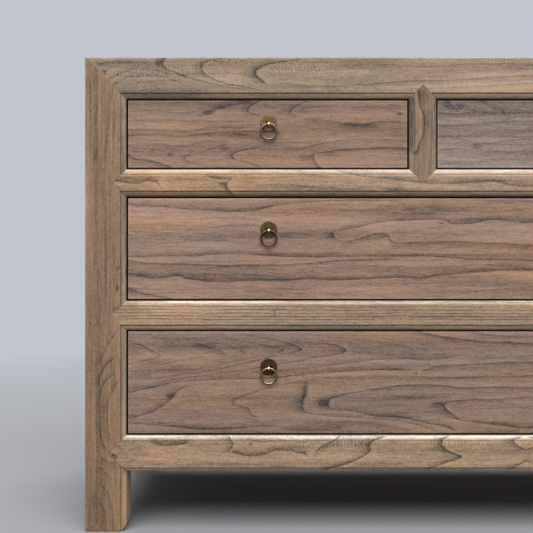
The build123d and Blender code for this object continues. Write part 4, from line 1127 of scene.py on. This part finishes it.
def ring_size(node, wire):
    """The middle of a CAD ring, and the radius of the circle that the middle of its wire follows."""
    low, high = (np.array(corner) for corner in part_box(node))
    return (low + high) / 2, (high[0] - low[0]) / 2 - wire


def ring_points(centre, radius, wire, count=96, round_count=20):
    """A hanging ring: a circle in the plane of the drawer front, with a round wire carried along it.

    The wire swells and thins a little along the circle, as a hand-bent one does.
    """
    turn = np.linspace(0, 2 * np.pi, count, endpoint=False)[:, None]
    spin = np.linspace(0, 2 * np.pi, round_count, endpoint=False)[None, :]
    thick = wire * (1 - 0.04 * (1 + np.sin(3 * turn + centre[0] * 40)) / 2)
    reach = radius + thick * np.cos(spin)
    x = centre[0] + reach * np.sin(turn)
    z = centre[2] + reach * np.cos(turn)
    y = centre[1] + thick * np.sin(spin) + 0 * turn
    return np.stack((x, y, z), axis=-1)


class WoodSettings(bpy.types.PropertyGroup):
    """Colours of the elm, and how strongly its figure, fibres and wear show."""

    frame_colour: bpy.props.FloatVectorProperty(
        name="Frame colour", description="Elm of the frame", subtype="COLOR",
        default=linear(158, 132, 108),
    )
    drawer_colour: bpy.props.FloatVectorProperty(
        name="Drawer colour", description="Elm of the drawer fronts", subtype="COLOR",
        default=linear(150, 124, 108),
    )
    inner_colour: bpy.props.FloatVectorProperty(
        name="Inner colour", description="Bare wood inside", subtype="COLOR",
        default=linear(172, 146, 116),
    )
    # Tint of rubbed edges, which on the mouldings is also their painted highlight
    wear_and_highlight_tint: bpy.props.FloatVectorProperty(
        name="Worn tint", description="How much paler rubbed edges are", subtype="COLOR",
        default=(2.0, 2.55, 3.3),
    )
    # Colour of dirt, also used for painted shade in quirks, in the gap round the openings and on darkened
    # mouldings
    grime_and_shade_colour: bpy.props.FloatVectorProperty(
        name="Grime colour", description="Dirt in quirks and joints", subtype="COLOR",
        default=linear(58, 43, 32),
    )
    figure: bpy.props.FloatProperty(
        name="Figure", description="Strength of the growth lines",
        default=1.0,
    )
    fibre: bpy.props.FloatProperty(
        name="Fibre", description="Strength of streaks and fibres",
        default=1.0,
    )
    # Also scales the painted highlight on the mouldings
    wear: bpy.props.FloatProperty(
        name="Wear", description="Strength of the edge wear",
        default=1.0,
    )


class PullSettings(bpy.types.PropertyGroup):
    """Sizes and colours of the ring pulls."""

    wire_radius: bpy.props.FloatProperty(
        name="Wire radius", description="Half the thickness of a ring", unit="LENGTH",
        default=0.00195,
    )
    plate_colour: bpy.props.FloatVectorProperty(
        name="Plate colour", description="Brass of the plates", subtype="COLOR",
        default=linear(130, 104, 70),
    )
    eye_colour: bpy.props.FloatVectorProperty(
        name="Eye colour", description="Bright brass of the eyes", subtype="COLOR",
        default=linear(240, 218, 160),
    )
    ring_colour: bpy.props.FloatVectorProperty(
        name="Ring colour", description="Dark bronze of the rings", subtype="COLOR",
        default=linear(124, 106, 88),
    )


class StageSettings(bpy.types.PropertyGroup):
    """The studio: camera, floor and light."""

    camera_place: bpy.props.FloatVectorProperty(
        name="Camera place", description="Where the photograph was taken from",
        default=CAMERA_PLACE, subtype="XYZ", unit="LENGTH",
    )
    lens: bpy.props.FloatProperty(
        name="Lens", description="Focal length on a 36 mm wide sensor", unit="CAMERA",
        default=LENS_MM,
    )
    floor_colour: bpy.props.FloatVectorProperty(
        name="Floor colour", description="Colour of the plain floor", subtype="COLOR",
        default=linear(168, 170, 174),
    )
    backdrop_colour: bpy.props.FloatVectorProperty(
        name="Backdrop colour", description="Colour behind the chest", subtype="COLOR",
        default=linear(194, 197, 206),
    )
    fill: bpy.props.FloatProperty(
        name="Fill", description="Strength of the light from all round",
        default=0.26,
    )
    key: bpy.props.FloatProperty(
        name="Key", description="Power of the large lamp in front", unit="POWER",
        default=295.0,
    )


# Seed of the wood inside. Each outer board has a seed of its own, its place in the sorted list of nodes
INNER_SEED = 77


class CHEST_OT_dress_boards(bpy.types.Operator):
    """Gives every board of the frame and the drawers its own elm"""

    bl_idname = "chest.dress_boards"
    bl_label = "Dress the boards"

    def execute(self, context):
        settings = context.scene.chest_wood
        slots = {part["node"]: part["material_slot"] for part in frame["record"]["subparts"]}
        kinds = ("side", "back", "bottom")
        inner = {kind: elm(f"inner_{kind}", settings.inner_colour, INNER_SEED, settings) for kind in kinds}
        for index, (node, slot) in enumerate(sorted(slots.items())):
            if slot == "inner_wood":
                put_on(node, inner.get(node.split("_")[-1], inner["side"]))
            elif slot.endswith("wood"):
                plain = settings.frame_colour if slot == "frame_wood" else settings.drawer_colour
                brightness, warmth = BOARD_TONES.get(node, PLAIN_TONE)
                tone = tint(plain, brightness * np.array((1 + warmth, 1, 1 - warmth)))[:3]
                put_on(node, elm(node, tone, index, settings))
        return {"FINISHED"}


class CHEST_OT_make_pulls(bpy.types.Operator):
    """Makes the rings, and gives the plates and eyes their brass"""

    bl_idname = "chest.make_pulls"
    bl_label = "Make the pulls"

    def execute(self, context):
        settings = context.scene.chest_pulls
        wire = settings.wire_radius
        eye = aged_metal("eye_brass", settings.eye_colour, 1.0, EYE_METAL, EYE_SEED)
        for drawer, (plate_shade, ring_shade) in PULL_SHADES.items():
            nodes = [node for node in frame["nodes"] if node.startswith(f"{drawer}_drawer")]
            rings = [node for node in nodes if node.endswith("ring")]
            slot_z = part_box(rings[0])[1].z - wire + EYE_DROP
            slot = (SLOT_SHIFT, slot_z + SLOT_HALF * 0.7)
            if drawer == "lower":
                slot = (-SLOT_SHIFT, slot_z)
            seed = plate_shade
            name = f"{drawer}_plate_brass"
            plate = aged_metal(name, settings.plate_colour, plate_shade, PLATE_METAL, seed, slot=slot)
            centre, radius = ring_size(rings[0], wire)
            ring = (float(centre[2]), float(radius), wire)
            name = f"{drawer}_ring_bronze"
            bronze = aged_metal(name, settings.ring_colour, ring_shade, RING_METAL, seed, ring=ring)
            for node in nodes:
                if "plate" in node:
                    put_on(node, plate)
                elif "eye" in node:
                    put_on(node, eye)
                elif node in rings:
                    points = ring_points(*ring_size(node, wire), wire)
                    piece = make_piece(f"{node}_smooth", points, grid_faces(*points.shape[:2]), bronze)
                    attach(piece, node)
                    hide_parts(node)
        return {"FINISHED"}


# Stage

# Floor: half its width in metres, its brightness in its paler and darker clouds and to the light that it
# throws back, and the distances in metres between which it fades into the backdrop
FLOOR_REACH = 30.0
FLOOR_PALE = 0.86
FLOOR_DARK = 0.8
FLOOR_UNSEEN = 0.4
FLOOR_FADE = (0.9, 3.2)

# Light: tint of the fill, then each lamp's name, its place, the point that it faces and its size, all in
# metres, and its power as a share of the key's
FILL_TINT = (1.0, 1.0, 1.02)
LAMPS = (
    ("key_lamp", (-0.3, -2.6, 4.0), (-0.3, -0.2, 0.45), (6.0, 4.2), 1.0),
    ("back_lamp", (0.4, 2.6, 3.8), (0.0, 0.2, 0.5), (5.0, 2.0), 0.5),
)


def seen_directly(tree):
    """1 for the rays that show a surface to the camera, straight, in metal or through glass, else 0."""
    rays = tree.nodes.new("ShaderNodeLightPath").outputs
    seen = Flow(tree, rays["Is Camera Ray"]).math("MAXIMUM", Flow(tree, rays["Is Glossy Ray"]))
    return seen.math("MAXIMUM", Flow(tree, rays["Is Transmission Ray"]))


def floor_paint(settings):
    """A pale floor that takes shadows near the chest and fades into the backdrop away from it.

    It is seen pale; to the light it is darker, so that little of it is thrown up again.
    """
    material, shader, coordinates = new_material("studio_floor")
    tree = material.node_tree
    clouds = coordinates.noise((1.5, 1.5, 1.5), (0.0, 0.0, 0.0), 3.0)
    paint = clouds.between(tint(settings.floor_colour, FLOOR_PALE), tint(settings.floor_colour, FLOOR_DARK))
    seen = seen_directly(tree)
    colour = seen.between(tint(settings.floor_colour, FLOOR_UNSEEN), paint)
    set_sockets(coordinates, shader, {"Base Color": colour, "Roughness": 0.9, "Specular IOR Level": 0.0})
    distance = coordinates.add("ShaderNodeVectorMath", {"operation": "LENGTH"}, {0: coordinates}, "Value")
    glow = coordinates.add("ShaderNodeEmission", {}, {"Color": tint(settings.backdrop_colour, 1.0)})
    faded = distance.rise(*FLOOR_FADE) * seen
    mixed = faded.add("ShaderNodeMixShader", {}, {0: faded, 1: Flow(tree, shader.outputs["BSDF"]), 2: glow})
    tree.links.new(mixed.socket, tree.nodes["Material Output"].inputs["Surface"])
    return material


class CHEST_OT_set_stage(bpy.types.Operator):
    """Sets the camera, the pale floor and the soft light"""

    bl_idname = "chest.set_stage"
    bl_label = "Set the stage"

    def execute(self, context):
        scene = context.scene
        settings = scene.chest_stage
        camera_data = bpy.data.cameras.new("camera")
        camera_data.lens = settings.lens
        camera_data.sensor_width = SENSOR_MM
        camera = bpy.data.objects.new("camera", camera_data)
        camera.location = settings.camera_place
        camera.rotation_euler = (math.pi / 2, 0.0, 0.0)
        scene.collection.objects.link(camera)
        scene.camera = camera

        corners = np.array([(-1, -1, 0), (1, -1, 0), (1, 1, 0), (-1, 1, 0)]) * FLOOR_REACH
        floor = make_piece("floor", corners, np.array([[0, 1, 2, 3]]), floor_paint(settings))

        world = bpy.data.worlds.new("studio")
        world.use_nodes = True
        scene.world = world
        tree = world.node_tree
        fill = tint(FILL_TINT, settings.fill)
        colour = seen_directly(tree).between(fill, tint(settings.backdrop_colour, 1.0))
        tree.links.new(colour.socket, tree.nodes["Background"].inputs["Color"])

        for name, place, aim, size, share in LAMPS:
            lamp_data = bpy.data.lights.new(name, "AREA")
            lamp_data.shape = "RECTANGLE"
            lamp_data.size, lamp_data.size_y = size
            lamp_data.energy = settings.key * share
            lamp = bpy.data.objects.new(name, lamp_data)
            lamp.location = place
            away = np.array(place) - np.array(aim)
            lamp.rotation_euler = (
                math.atan2(math.hypot(away[0], away[1]), away[2]),
                0.0,
                math.atan2(away[0], -away[1]),
            )
            scene.collection.objects.link(lamp)
        scene.view_settings.view_transform = "Standard"
        return {"FINISHED"}


class CHEST_PT_sidebar(bpy.types.Panel):
    """Lists the steps and the sizes"""

    bl_idname = "CHEST_PT_sidebar"
    bl_label = "Chest of drawers"
    bl_space_type = "VIEW_3D"
    bl_region_type = "UI"
    bl_category = "Chest"

    def draw(self, context):
        column = self.layout.column()
        for step in STEPS:
            column.operator(step.bl_idname)
        scene = context.scene
        for settings in (scene.chest_wood, scene.chest_pulls, scene.chest_stage):
            for key in settings.__annotations__:
                column.prop(settings, key)


STEPS = (CHEST_OT_dress_boards, CHEST_OT_make_pulls, CHEST_OT_set_stage)
CLASSES = (WoodSettings, PullSettings, StageSettings, *STEPS, CHEST_PT_sidebar)


def register():
    for kind in CLASSES:
        bpy.utils.register_class(kind)
    bpy.types.Scene.chest_wood = bpy.props.PointerProperty(type=WoodSettings)
    bpy.types.Scene.chest_pulls = bpy.props.PointerProperty(type=PullSettings)
    bpy.types.Scene.chest_stage = bpy.props.PointerProperty(type=StageSettings)


def unregister():
    del bpy.types.Scene.chest_stage
    del bpy.types.Scene.chest_pulls
    del bpy.types.Scene.chest_wood
    for kind in reversed(CLASSES):
        bpy.utils.unregister_class(kind)


def main():
    """Builds the scene step by step."""
    register()
    bpy.ops.chest.dress_boards()
    bpy.ops.chest.make_pulls()
    bpy.ops.chest.set_stage()


if __name__ == "__main__":
    main()
